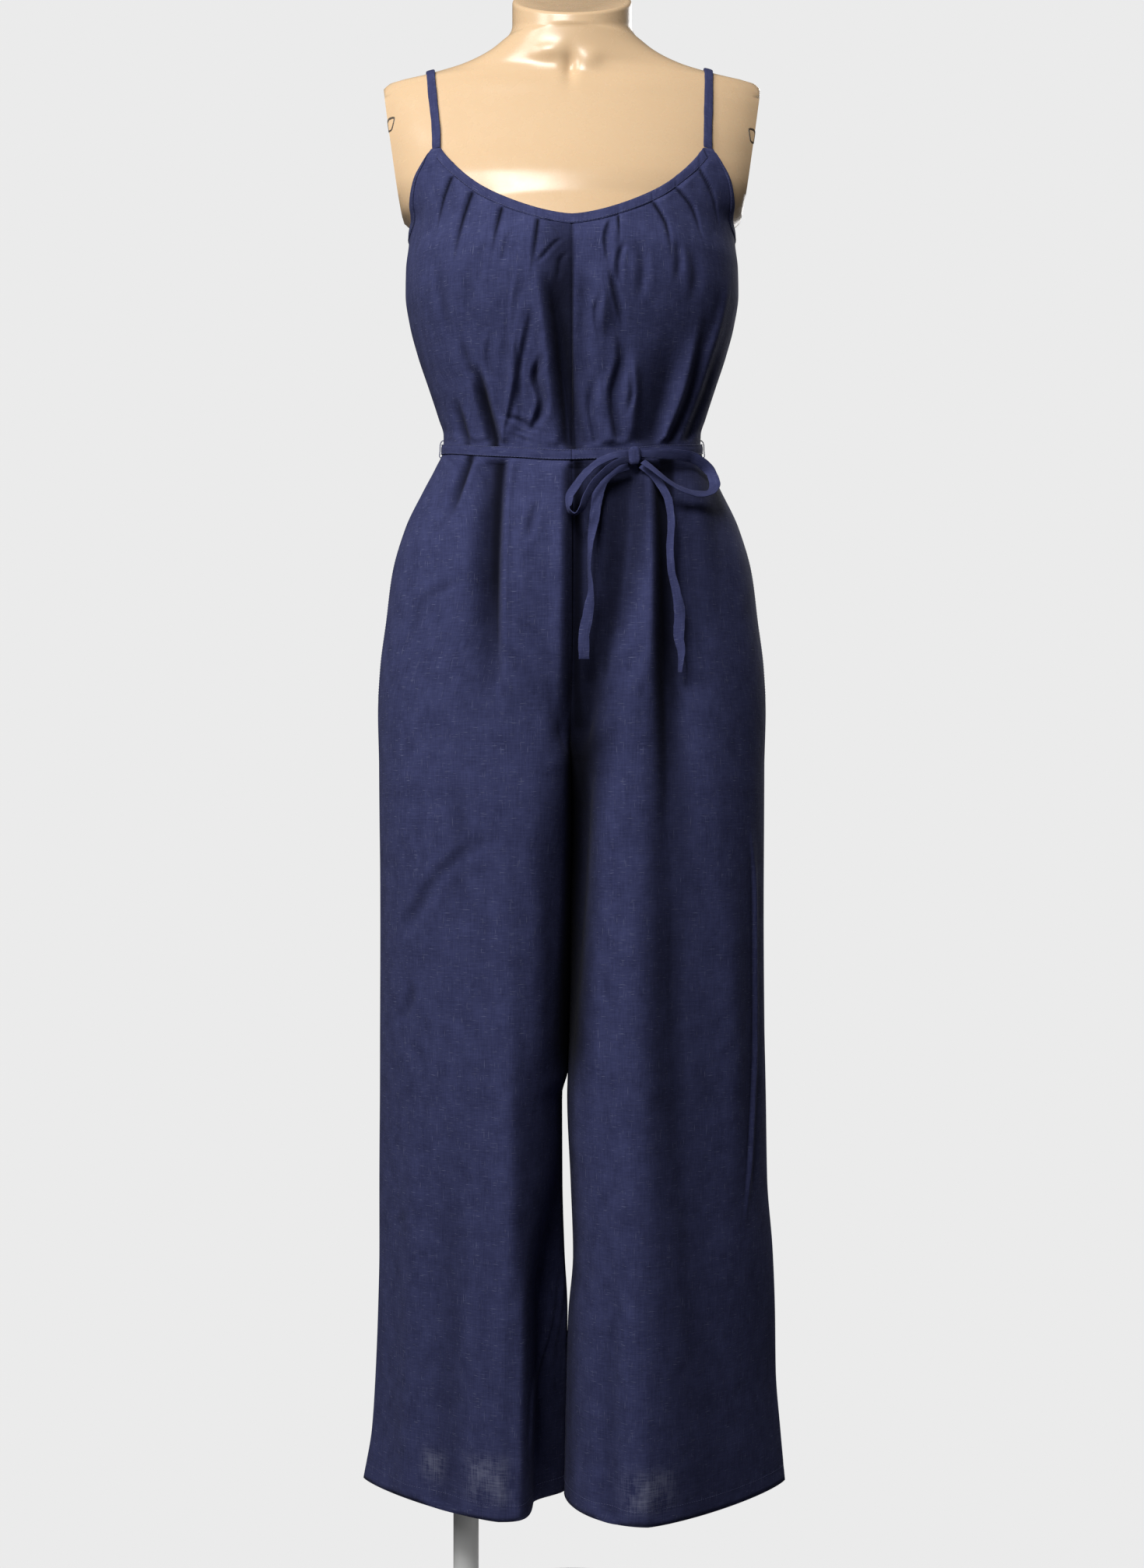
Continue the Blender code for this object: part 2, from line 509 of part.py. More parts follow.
# ---------------------------------------------------------------- dress form and stand
def make_form():
    """Rings from the flat underside at the hips to the slanted cut of the neck."""
    turns = np.radians([0, 14, 28, 42, 56, 68, 77, 84, 90])
    turns = np.concatenate([turns, np.pi - turns[-2::-1]])
    turns = np.concatenate([turns, 2 * np.pi - turns[-2:0:-1]])
    rings = []
    for row in FORM:
        wide, deep = np.sin(turns), np.cos(turns)
        x = row.half_width * np.sign(wide) * np.abs(wide) ** (2 / row.power)
        x = np.clip(x, -arm_cut(row.z), arm_cut(row.z))
        reach = np.where(deep > 0, row.front, row.back)
        y = -reach * np.sign(deep) * np.abs(deep) ** (2 / row.power)
        rings.append(np.stack([x, y, np.full_like(x, row.z)], axis=-1))
    for rise in (0.35, 1.0):
        x = NECK_RADIUS_X * np.sin(turns)
        y = -np.where(np.cos(turns) > 0, NECK_FRONT_RADIUS, NECK_BACK_RADIUS) * np.cos(turns)
        cut = NECK_CUT_FRONT + NECK_CUT_SLOPE * (y + NECK_FRONT_RADIUS)
        z = FORM[-1].z + (cut - FORM[-1].z) * rise
        rings.append(np.stack([x, y, z], axis=-1))
    count = len(turns)
    points = np.concatenate(rings)
    faces = [
        (k * count + i, k * count + (i + 1) % count, (k + 1) * count + (i + 1) % count, (k + 1) * count + i)
        for k in range(len(rings) - 1)
        for i in range(count)
    ]
    faces.append(tuple(range(count))[::-1])
    faces.append(tuple(range((len(rings) - 1) * count, len(rings) * count)))
    mesh = bpy.data.meshes.new("form_torso")
    mesh.from_pydata(points.tolist(), [], faces)
    form = bmesh.new()
    form.from_mesh(mesh)
    bmesh.ops.recalc_face_normals(form, faces=form.faces)
    form.to_mesh(mesh)
    form.free()
    mesh.shade_smooth()
    mesh.set_sharp_from_angle(angle=np.radians(40))
    return add_object("form_torso", mesh, SKIN_PLASTIC)


def make_stand():
    """A round plate on the floor and one pole, which goes up the right leg to the form's underside."""
    bpy.ops.mesh.primitive_cylinder_add(
        vertices=48, radius=BASE_RADIUS, depth=BASE_THICK, location=(0, BASE_Y, BASE_THICK / 2)
    )
    plate = bpy.context.object
    pole_bottom, pole_top = BASE_THICK + SEAM_GAP, FORM[0].z - SEAM_GAP
    bpy.ops.mesh.primitive_cylinder_add(
        vertices=20,
        radius=POLE_RADIUS,
        depth=pole_top - pole_bottom,
        location=(POLE_X, POLE_Y, 0.5 * (pole_top + pole_bottom)),
    )
    pole = bpy.context.object
    for made, name in ((plate, "stand_base"), (pole, "stand_pole")):
        made.name = made.data.name = name
        made.data.materials.append(STAND_PAINT)
        for owner in list(made.users_collection):
            owner.objects.unlink(made)
        COLLECTION.objects.link(made)
        made.data.shade_smooth()
        made.data.set_sharp_from_angle(angle=np.radians(40))


# ---------------------------------------------------------------- bodice
BODICE_RISE = (0.05, 0.11, 0.19, 0.28, 0.38, 0.48, 0.58, 0.68, 0.78, 0.88)
ARMHOLE_STEPS = (0.0, 0.08, 0.17, 0.27, 0.38, 0.50, 0.64, 0.80)
LEAST_STEP = np.radians(1.2)  # columns closer than this are dropped
BAND_END = np.radians(0.35)  # how far a band stops short of the strap's seat


def side_name(side):
    return "left" if side == LEFT else "right"


def front_angles(side):
    """Columns of a front bodice piece: even steps, more at each pleat, and those of the armhole."""
    even = np.radians([0.0, 6.5, 12, 28, 44])
    pleats = [np.radians(pleat.angle + step) for pleat in PLEATS[side] for step in (-3.6, -1.0, 1.6)]
    armhole = SEAT_OUT + (np.pi / 2 - SEAT_OUT) * np.array(ARMHOLE_STEPS)
    places = np.array(sorted([*even, *pleats]))
    places = places[places < SEAT_IN - LEAST_STEP]
    places = places[np.concatenate([[True], np.diff(places) > LEAST_STEP])]
    return np.concatenate([places, [SEAT_IN], armhole, [np.pi / 2 - WALL_EDGE / SIDE_REACH]])


def back_angles():
    """Columns of one half of the back bodice, from the side seam to the centre."""
    armhole = np.pi / 2 + (BACK_SEAT_OUT - np.pi / 2) * np.array(ARMHOLE_STEPS[2::2])
    centre = np.radians([144, 153, 162, 171, 180])
    first = np.pi / 2 + WALL_EDGE / SIDE_REACH
    return np.concatenate([[first], armhole, [BACK_SEAT_OUT, BACK_SEAT_IN], centre])


def bodice_levels(top):
    """Rows of a bodice piece: at the tie's edge, evenly up to the band, and across the band."""
    low, band_edge = WAIST + TIE_WIDTH / 2, top - BAND_WIDTH
    rows = [np.full_like(top, WAIST + WALL_EDGE), np.full_like(top, low)]
    rows += [low + (band_edge - low) * share for share in BODICE_RISE]
    return np.stack([*rows, band_edge, top - BAND_WIDTH / 2, top], axis=-1)


def make_bodice():
    for side in (LEFT, RIGHT):
        angles = front_angles(side)
        level = bodice_levels(front_top(angles))
        angles = np.broadcast_to(angles[:, None], level.shape)
        outside, inside = (bodice_front(side, angles, level, inset) for inset in (0.0, WALL))
        walled(f"bodice_front_{side_name(side)}", outside, inside)
    half = back_angles()
    angles = np.concatenate([half, half[-2::-1]])
    sides = np.where(np.arange(len(angles)) < len(half), LEFT, RIGHT)[:, None]
    level = bodice_levels(back_top(angles))[:, [0, 1, 3, 5, 7, 9, 11, 12, 13, 14]]
    angles = np.broadcast_to(angles[:, None], level.shape)
    outside, inside = (torso(sides, angles, level, False, inset) for inset in (0.0, WALL))
    walled("bodice_back", outside, inside)


# ---------------------------------------------------------------- bands along the upper edges
def band(name, sides, angles, top, point):
    """A narrow band on the outside of the bodice, along its upper edge."""
    depth = np.array([BAND_WIDTH, BAND_WIDTH / 2, -BAND_OVER])[None, :]
    level = top[:, None] - depth
    grid = point(sides[:, None], np.broadcast_to(angles[:, None], level.shape), level)
    sheet(name, moved_out(grid, BAND_LAY), BAND_WALL, 1)


def make_bands():
    end = BAND_END
    right, left = (front_angles(side) for side in (RIGHT, LEFT))
    right, left = (places[places < SEAT_IN - end] for places in (right, left))
    angles = np.concatenate([[SEAT_IN - end], right[::-1], left[1:], [SEAT_IN - end]])
    sides = np.where(np.arange(len(angles)) <= len(right), RIGHT, LEFT)
    band("neckline_band_front", sides, angles, front_top(angles), lambda s, a, z: torso(s, a, z, True))
    half = back_angles()[back_angles() > BACK_SEAT_IN + end]
    angles = np.concatenate([[BACK_SEAT_IN + end], half, half[-2::-1], [BACK_SEAT_IN + end]])
    sides = np.where(np.arange(len(angles)) <= len(half), LEFT, RIGHT)
    band("neckline_band_back", sides, angles, back_top(angles), lambda s, a, z: torso(s, a, z, False))
    for side in (LEFT, RIGHT):
        front = front_angles(side)
        front = front[front > SEAT_OUT + end][:-1]
        back = back_angles()
        back = back[back < BACK_SEAT_OUT - end][1:]
        angles = np.concatenate([[SEAT_OUT + end], front, [np.pi / 2], back, [BACK_SEAT_OUT - end]])
        top = np.where(angles <= np.pi / 2, front_top(angles), back_top(angles))
        sides = np.full(len(angles), side)
        band(f"armhole_band_{side_name(side)}", sides, angles, top, armhole_point)


def armhole_point(side, angle, level):
    front = torso(side, np.minimum(angle, np.pi / 2), level, True)
    back = torso(side, np.maximum(angle, np.pi / 2), level, False)
    return np.where((angle <= np.pi / 2)[..., None], front, back)


# ---------------------------------------------------------------- straps
STRAP_TOP_X = {LEFT: 0.134, RIGHT: 0.1405}
STRAP_TILT = 0.0008  # how far a slanting strap's corner dips below its end
STRAP_CENTRE_Y = 0.012
STRAP_CENTRE_Z = 1.440
STRAP_LEAVE = 0.25  # share of the strap over which it comes down from its seat to the form


def form_surface(x, direction):
    """The form's surface over a strap: found along rays in the plane at x."""
    near, far = np.zeros_like(x), np.full_like(x, 0.20)
    for _ in range(40):
        middle = 0.5 * (near + far)
        y = STRAP_CENTRE_Y + middle * np.cos(direction)
        z = STRAP_CENTRE_Z + middle * np.sin(direction)
        inside = np.hypot(x, y) < form_radius(np.arctan2(x, -y), z)
        near, far = np.where(inside, middle, near), np.where(inside, far, middle)
    y = STRAP_CENTRE_Y + near * np.cos(direction)
    z = STRAP_CENTRE_Z + near * np.sin(direction)
    return np.stack([x, y, z], axis=-1)


def strap_path(side, count):
    """Centre line of a strap, from its front seat over the shoulder to its back seat, and its outward."""
    middle_angle = 0.5 * (SEAT_IN + SEAT_OUT)
    front = torso(LEFT, np.array([middle_angle]), np.array([STRAP_SEAT]), True)[0]
    back_angle = 0.5 * (BACK_SEAT_IN + BACK_SEAT_OUT)
    back = torso(LEFT, np.array([back_angle]), np.array([SEAT_BACK]), False)[0]
    front[2] += SEAM_GAP + STRAP_TILT
    back[2] += SEAM_GAP + STRAP_TILT
    start = np.arctan2(front[2] - STRAP_CENTRE_Z, front[1] - STRAP_CENTRE_Y)
    stop = np.arctan2(back[2] - STRAP_CENTRE_Z, back[1] - STRAP_CENTRE_Y)
    t = np.linspace(0, 1, count)
    direction = start + (stop - start) * t
    across = [front[0], front[0], STRAP_TOP_X[side], back[0], back[0]]
    x = smooth_between([0, 0.04, 0.48, 0.96, 1.0], across, t)
    on_form = form_surface(x, direction)
    aside = form_surface(x + 0.002, direction)
    along = np.gradient(on_form, axis=0)
    outward = np.cross(aside - on_form, along)
    outward /= np.linalg.norm(outward, axis=-1, keepdims=True)
    if outward[count // 2, 2] < 0:
        outward = -outward
    path = on_form + outward * (STRAP_LAY + STRAP_WALL / 2)
    path += (front - path[0]) * (np.maximum(1 - t / STRAP_LEAVE, 0) ** 2)[:, None]
    path += (back - path[-1]) * (np.maximum(1 - (1 - t) / STRAP_LEAVE, 0) ** 2)[:, None]
    mirror = np.array([side, 1, 1])
    return path * mirror, outward * mirror


def ribbon_grid(path, outward, width):
    """Two edges of a ribbon along a path, flat against its outward direction."""
    along = np.gradient(path, axis=0)
    across = np.cross(along, outward)
    across /= np.linalg.norm(across, axis=-1, keepdims=True)
    steps = np.array([-0.5, 0.5])[None, :, None] * np.asarray(width).reshape(-1, 1, 1)
    return path[:, None, :] + across[:, None, :] * steps


def make_straps():
    for side in (LEFT, RIGHT):
        path, outward = strap_path(side, 26)
        sheet(f"strap_{side_name(side)}", ribbon_grid(path, outward, STRAP_WIDTH), STRAP_WALL, 0)


# ---------------------------------------------------------------- trousers
TROUSER_LEVELS = (
    WAIST - WALL_EDGE, WAIST - TIE_WIDTH / 2, 1.152, 1.136, 1.118, 1.097, POCKET_TOP, 1.048, 1.018, 0.988,
    0.965, 0.947, POCKET_BOTTOM, 0.903, 0.888, 0.876, 0.867, 0.8605, 0.840, 0.790, 0.710, 0.635, 0.590, 0.560,
    0.535, 0.490, 0.435, 0.380, 0.320, 0.260, 0.205, 0.170, HEM,
)
TROUSER_SHARES = (0.06, 0.14, 0.23, 0.32, 0.41, 0.50, 0.60, 0.70, 0.80, 0.88, 0.945)


def seam_share(side, levels, front, seam):
    """The share at which a piece's edge keeps half the seam gap from its seam, for each level."""
    on_seam = trouser(side, np.full_like(levels, seam), levels, front)
    near, far = np.zeros_like(levels), np.full_like(levels, 0.03)
    for _ in range(30):
        middle = 0.5 * (near + far)
        here = trouser(side, np.abs(seam - middle), levels, front)
        short = np.linalg.norm(here - on_seam, axis=-1) < WALL_EDGE
        near, far = np.where(short, middle, near), np.where(short, far, middle)
    return np.abs(seam - far)


def trouser_grid(side, shares, levels, front, inset):
    shares, levels = np.broadcast_arrays(np.asarray(shares), levels[None, :])
    return trouser(side, shares, levels, front, inset)


def make_trousers():
    levels = np.array(TROUSER_LEVELS)
    for side in (LEFT, RIGHT):
        for front in (True, False):
            first = np.where(levels > CROTCH_START, 0.0, seam_share(side, levels, front, 0.0))
            last = seam_share(side, levels, front, 1.0)
            shares = np.stack([first] + [np.full_like(levels, s) for s in TROUSER_SHARES] + [last])
            outside, inside = (trouser_grid(side, shares, levels, front, inset) for inset in (0.0, WALL))
            walled(f"trouser_{'front' if front else 'back'}_{side_name(side)}", outside, inside)


def make_pocket_facings():
    """A strip behind each side seam, where the slit of the pocket is."""
    levels = np.array([z for z in TROUSER_LEVELS if POCKET_BOTTOM <= z <= POCKET_TOP])
    for side in (LEFT, RIGHT):
        depth = WALL + 2 * LAY
        outer_shares = np.array([*TROUSER_SHARES[-2:], 1.0])[:, None]
        front = trouser_grid(side, outer_shares, levels, True, depth)
        back = trouser_grid(side, outer_shares[-2::-1], levels, False, depth)
        points = np.concatenate([front, back])
        sheet(f"pocket_facing_{side_name(side)}", points, FACING_WALL, -1, facing=(side * LEG_CENTRE, 0, 0))


# ---------------------------------------------------------------- tie belt
def make_tie_band():
    """The belt round the waist, on the outside of the cloth."""
    angles = np.radians(np.arange(0, 360, 6.0))
    folded = np.where(angles > np.pi, 2 * np.pi - angles, angles)[:, None]
    sides = np.where(angles > np.pi, RIGHT, LEFT)[:, None]
    level = np.broadcast_to(WAIST + TIE_WIDTH * np.array([-0.5, 0.0, 0.5])[None, :], (len(angles), 3))
    front = torso(sides, folded, level, True)
    back = torso(sides, folded, level, False)
    points = np.where((folded <= np.pi / 2)[..., None], front, back)
    out = points * np.array([1.0, 1.0, 0.0])
    out /= np.linalg.norm(out, axis=-1, keepdims=True)
    sheet("tie_band", points + out * TIE_LAY, TIE_WALL, 1, closed=True)


def front_of_cloth(x, z):
    """How far forward the cloth reaches at a place in the front view."""
    side = np.where(x < 0, RIGHT, LEFT)
    low, high = np.zeros_like(x), np.ones_like(x)
    level = z + drop(np.zeros_like(x), z)
    for _ in range(3):
        for _ in range(30):
            middle = 0.5 * (low + high)
            reach = side * torso(side, middle * np.pi / 2, level, True)[..., 0]
            low = np.where(reach < np.abs(x), middle, low)
            high = np.where(reach < np.abs(x), high, middle)
        angle = 0.5 * (low + high) * np.pi / 2
        level = z + drop(angle, level)
        low, high = np.zeros_like(x), np.ones_like(x)
    return -torso(side, angle, level, True)[..., 1]


KNOT_X, KNOT_Z = 0.059, 1.1495
KNOT_SIZE = (0.0075, 0.0045, 0.0085)
# The free stretches of the tie. x and z are places in the front view, lift is the distance of the
# ribbon's middle from the cloth behind it, and turn is how far the ribbon is twisted, in degrees.
Bend = namedtuple("Bend", "x z lift turn")
TIE_ROUTES = {
    "tie_loop_right": [
        Bend(0.0510, 1.1512, 0.0085, 0),
        Bend(0.0410, 1.1490, 0.0090, 5),
        Bend(0.0280, 1.1435, 0.0085, 15),
        Bend(0.0140, 1.1320, 0.0075, 20),
        Bend(0.0035, 1.1180, 0.0065, 25),
        Bend(-0.0025, 1.1060, 0.0060, 40),
        Bend(-0.0025, 1.0950, 0.0065, 75),
        Bend(0.0035, 1.0905, 0.0090, 90),
        Bend(0.0090, 1.0955, 0.0130, 60),
        Bend(0.0130, 1.1060, 0.0140, 30),
        Bend(0.0210, 1.1200, 0.0145, 15),
        Bend(0.0330, 1.1330, 0.0145, 5),
        Bend(0.0440, 1.1415, 0.0140, 0),
        Bend(0.0505, 1.1445, 0.0125, 0),
    ],
    "tie_loop_left": [
        Bend(0.0668, 1.1518, 0.0085, 0),
        Bend(0.0780, 1.1520, 0.0085, 0),
        Bend(0.0950, 1.1535, 0.0080, 10),
        Bend(0.1120, 1.1530, 0.0090, 20),
        Bend(0.1260, 1.1470, 0.0100, 45),
        Bend(0.1345, 1.1370, 0.0120, 75),
        Bend(0.1365, 1.1260, 0.0140, 90),
        Bend(0.1310, 1.1165, 0.0150, 70),
        Bend(0.1180, 1.1135, 0.0150, 30),
        Bend(0.1040, 1.1165, 0.0150, 15),
        Bend(0.0910, 1.1235, 0.0150, 5),
        Bend(0.0780, 1.1340, 0.0145, 0),
        Bend(0.0690, 1.1415, 0.0130, 0),
    ],
    "tie_tail_right": [
        Bend(0.0515, 1.1392, 0.0040, 0),
        Bend(0.0415, 1.1345, 0.0035, 0),
        Bend(0.0300, 1.1250, 0.0030, 5),
        Bend(0.0240, 1.1090, 0.0030, 10),
        Bend(0.0205, 1.0850, 0.0030, 10),
        Bend(0.0170, 1.0600, 0.0035, 15),
        Bend(0.0155, 1.0400, 0.0035, 25),
        Bend(0.0170, 1.0200, 0.0035, 15),
        Bend(0.0150, 0.9980, 0.0030, 0),
        Bend(0.0110, 0.9750, 0.0030, 0),
        Bend(0.0115, 0.9560, 0.0030, 0),
    ],
    "tie_tail_left": [
        Bend(0.0670, 1.1400, 0.0040, 0),
        Bend(0.0760, 1.1315, 0.0035, 5),
        Bend(0.0850, 1.1190, 0.0040, 20),
        Bend(0.0910, 1.1050, 0.0030, 40),
        Bend(0.0930, 1.0850, 0.0030, 45),
        Bend(0.0915, 1.0600, 0.0030, 40),
        Bend(0.0925, 1.0400, 0.0030, 30),
        Bend(0.0970, 1.0200, 0.0030, 30),
        Bend(0.1015, 0.9980, 0.0030, 40),
        Bend(0.1035, 0.9780, 0.0030, 45),
        Bend(0.1020, 0.9600, 0.0030, 50),
        Bend(0.1000, 0.9440, 0.0030, 55),
    ],
}


def smooth_route(bends, count):
    """The bends of a route joined by one smooth curve, at even steps of its length."""
    table = np.array(bends, float)
    reach = np.concatenate([[0], np.cumsum(np.hypot(*np.diff(table[:, :2], axis=0).T))])
    at = np.linspace(0, reach[-1], count)
    return [smooth_between(reach, table[:, k], at) for k in range(table.shape[1])]


def tie_ribbon(name, count):
    """One free stretch of the tie: a twisted ribbon that follows its route in front of the cloth."""
    x, z, lift, turn = smooth_route(TIE_ROUTES[name], count)
    lift = lift + 0.5 * TIE_WIDTH * np.abs(np.sin(np.radians(turn)))
    reach = np.max([front_of_cloth(x + step, z) for step in (-0.005, 0.0, 0.005)], axis=0)
    path = np.stack([x, -(reach + lift), z], axis=-1)
    along = np.gradient(path, axis=0)
    along /= np.linalg.norm(along, axis=-1, keepdims=True)
    slope = (front_of_cloth(x + 0.003, z) - front_of_cloth(x - 0.003, z)) / 0.006
    flat = np.stack([-slope, -np.ones_like(x), np.zeros_like(x)], axis=-1)
    flat -= along * (flat * along).sum(axis=-1, keepdims=True)
    flat /= np.linalg.norm(flat, axis=-1, keepdims=True)
    edge = np.cross(along, flat)
    turn = np.radians(turn)[:, None]
    outward = flat * np.cos(turn) + edge * np.sin(turn)
    sheet(name, ribbon_grid(path, outward, TIE_WIDTH), TIE_WALL, 0, facing=(KNOT_X, 0, 0))


def make_knot():
    """The knot of the bow, in front of the tie band."""
    bpy.ops.mesh.primitive_uv_sphere_add(segments=16, ring_count=10, radius=1.0)
    knot = bpy.context.object
    knot.name = knot.data.name = "tie_knot"
    front = float(front_of_cloth(np.array([KNOT_X]), np.array([KNOT_Z]))[0])
    lift = TIE_LAY + TIE_WALL + SEAM_GAP + KNOT_SIZE[1] + KNOT_LAY
    for vertex in knot.data.vertices:
        vertex.co = [vertex.co[k] * KNOT_SIZE[k] for k in range(3)]
    knot.location = (KNOT_X, -(front + lift), KNOT_Z)
    knot.data.materials.append(LINEN)
    for owner in list(knot.users_collection):
        owner.objects.unlink(knot)
    COLLECTION.objects.link(knot)
    knot.data.shade_smooth()


def make_tie():
    make_tie_band()
    make_knot()
    for name in TIE_ROUTES:
        tie_ribbon(name, 30)


make_form()
make_stand()
make_bodice()
make_bands()
make_straps()
make_trousers()
make_pocket_facings()
make_tie()
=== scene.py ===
"""The looks of a navy linen jumpsuit with wide legs, worn by a limbless dress form on a stand.

Metres, +Z up. The front faces -Y. Left and right are the wearer's: left is at +X. A point of the cloth is
found from the angle round the body (0 at the front, 90 degrees at the side seam) and its level, the
height that it would have at the side seam. The tables that in_metres reads are in millimetres.
"""

from collections import namedtuple

import bmesh
import bpy
import numpy as np
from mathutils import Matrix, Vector


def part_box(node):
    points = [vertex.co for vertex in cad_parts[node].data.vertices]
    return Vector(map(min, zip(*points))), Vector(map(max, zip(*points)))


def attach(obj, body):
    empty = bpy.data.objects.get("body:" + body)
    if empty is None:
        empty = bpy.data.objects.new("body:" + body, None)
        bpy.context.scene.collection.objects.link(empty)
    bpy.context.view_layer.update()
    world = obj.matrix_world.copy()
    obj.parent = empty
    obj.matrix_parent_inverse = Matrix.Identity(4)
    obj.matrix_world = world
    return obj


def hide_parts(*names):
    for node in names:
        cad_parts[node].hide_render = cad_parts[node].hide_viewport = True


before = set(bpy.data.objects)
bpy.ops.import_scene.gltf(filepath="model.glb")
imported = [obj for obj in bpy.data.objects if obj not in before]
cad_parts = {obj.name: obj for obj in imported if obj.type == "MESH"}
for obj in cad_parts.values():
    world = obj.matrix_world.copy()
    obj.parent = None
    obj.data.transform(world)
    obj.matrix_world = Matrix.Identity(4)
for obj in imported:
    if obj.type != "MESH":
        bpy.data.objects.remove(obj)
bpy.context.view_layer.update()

# ---------------------------------------------------------------- camera, ground and lights
# A level view of the front from hip height. The ground and the air round it have one pale grey, and a large
# soft window of light stands to the front and left, with a weak one to the right.
CAMERA_PLACE = (0.0, -2.0, 0.84)
CAMERA_LENS, CAMERA_SENSOR = 46.475, 36.0
GROUND_RADIUS, GROUND_DROP = 30.0, 0.0002
PALE_GREY, GREY_GLOW = 0.831, 0.08  # how bright the ground and the air look, and how much they light


def add_object(name, data):
    """An object for a mesh, a camera or a light, in the scene."""
    made = bpy.data.objects.new(name, data)
    bpy.context.scene.collection.objects.link(made)
    return made


def make_camera():
    lens = bpy.data.cameras.new("front_camera")
    lens.lens, lens.sensor_width = CAMERA_LENS, CAMERA_SENSOR
    camera = add_object("front_camera", lens)
    camera.location = CAMERA_PLACE
    camera.rotation_euler = (np.pi / 2, 0, 0)
    bpy.context.scene.camera = camera
    bpy.context.scene.view_settings.view_transform = "Standard"


def feed(tree, node, inputs):
    """Gives a node's inputs their values, or links them to the sockets that feed them."""
    for name, value in inputs.items():
        if isinstance(value, bpy.types.NodeSocket):
            tree.links.new(value, node.inputs[name])
        else:
            node.inputs[name].default_value = value


def add_node(tree, kind, inputs=None, **settings):
    """A shader node with its settings, and with what feeds its inputs."""
    made = tree.nodes.new(kind)
    for name, value in settings.items():
        setattr(made, name, value)
    feed(tree, made, inputs or {})
    return made


def between(tree, value, low, high, start=0.0, end=1.0):
    """A value that runs from low to high while the given one runs from start to end."""
    spread = {"Value": value, "From Min": start, "From Max": end, "To Min": low, "To Max": high}
    return add_node(tree, "ShaderNodeMapRange", spread).outputs["Result"]


def pale_strength(tree):
    """The strength of a glow that is pale to look at and gives little light."""
    path = add_node(tree, "ShaderNodeLightPath")
    return between(tree, path.outputs["Is Camera Ray"], GREY_GLOW, PALE_GREY)


def make_ground():
    bpy.ops.mesh.primitive_circle_add(vertices=96, radius=GROUND_RADIUS, fill_type="NGON")
    ground = bpy.context.object
    ground.name = "ground"
    ground.location.z = -GROUND_DROP
    material = bpy.data.materials.new("pale_ground")
    material.use_nodes = True
    tree = material.node_tree
    tree.nodes.clear()
    glow = add_node(tree, "ShaderNodeEmission", {"Strength": pale_strength(tree)})
    add_node(tree, "ShaderNodeOutputMaterial", {"Surface": glow.outputs["Emission"]})
    ground.data.materials.append(material)
    world = bpy.data.worlds.new("pale_air")
    world.use_nodes = True
    bpy.context.scene.world = world
    tree = world.node_tree
    feed(tree, tree.nodes["Background"], {"Color": (1, 1, 1, 1), "Strength": pale_strength(tree)})


Window = namedtuple("Window", "name place aim width height watts")
WINDOWS = [
    Window("front_window", (-0.75, -2.20, 2.85), (0, 0, 1.38), 1.1, 1.0, 73),
    Window("left_window", (-1.95, -1.70, 2.55), (0, 0, 1.38), 0.8, 1.4, 40),
    Window("back_window", (1.6, 2.6, 2.2), (0, 0, 1.0), 1.4, 2.0, 50),
]


def make_lights():
    for window in WINDOWS:
        light = bpy.data.lights.new(window.name, "AREA")
        light.shape = "RECTANGLE"
        light.size, light.size_y = window.width, window.height
        light.energy = window.watts
        lamp = add_object(window.name, light)
        lamp.location = window.place
        lamp.rotation_euler = (Vector(window.aim) - Vector(window.place)).to_track_quat("-Z", "Y").to_euler()


make_camera()
make_ground()
make_lights()

# ---------------------------------------------------------------- dress form
# A women's torso moulded in glossy beige plastic: a slanted cut through the neck, a flat oval plate at each
# shoulder with a dark fitting slot, and a flat underside at the hips.
LEFT, RIGHT = 1, -1
SIDES = ((LEFT, "left"), (RIGHT, "right"))


def metres(value):
    """Millimetres as metres, for a number or for rows of numbers."""
    return [metres(part) for part in value] if isinstance(value, (list, tuple)) else value / 1000


def in_metres(kind, kept, rows):
    """Named rows of a table. The last columns, kept of them, are ratios or degrees and stay as they are."""
    cut = len(rows[0]) - kept
    return [kind(*metres(row[:cut]), *row[cut:]) for row in rows]


# The form's level sections, as rounded rectangles: a power of 2 is an ellipse.
Section = namedtuple("Section", "z half_width front back power")
FORM = in_metres(Section, 1, [
    (905, 150, 70, 88, 2.4), (908, 159, 79, 98, 2.4), (917, 164, 86, 107, 2.4), (935, 167.5, 92, 116, 2.4),
    (960, 168, 96, 121, 2.35), (1000, 164, 98, 117, 2.3), (1050, 154, 96, 105, 2.25), (1100, 138, 89, 90, 2.2),
    (1150, 119, 79, 78, 2.15), (1180, 114, 76, 76, 2.1), (1220, 119, 80, 80, 2.1), (1270, 134, 92, 87, 2.15),
    (1310, 145, 110, 91, 2.2), (1338, 149, 116, 93, 2.2), (1365, 150, 110, 94, 2.2), (1382, 153, 104, 95, 2.2),
    (1390, 160, 101, 95.2, 2.15), (1398, 169, 98, 95.5, 2.1), (1408, 175, 96, 95.5, 2.1),
    (1420, 180, 93, 95.5, 2.1), (1435, 184, 87, 95, 2.05), (1450, 187, 80, 94, 2), (1480, 191, 67, 89, 1.95),
    (1505, 191, 57, 80, 1.85), (1520, 189, 51, 72, 1.7), (1530, 182, 47, 66, 1.6), (1538, 150, 46, 62, 1.6),
    (1548, 112, 47, 58, 1.75), (1560, 85, 48, 56, 1.9), (1572, 68, 49, 54, 2),
])
FORM_LEVELS = ((0.905, 0.935, 10), (0.94, 1.39, 60), (1.394, 1.572, 70))  # from, to, how many
NECK_RADIUS_X, NECK_FRONT_RADIUS, NECK_BACK_RADIUS = 0.059, 0.050, 0.054
NECK_CUT_FRONT, NECK_CUT_SLOPE = 1.585, 0.60
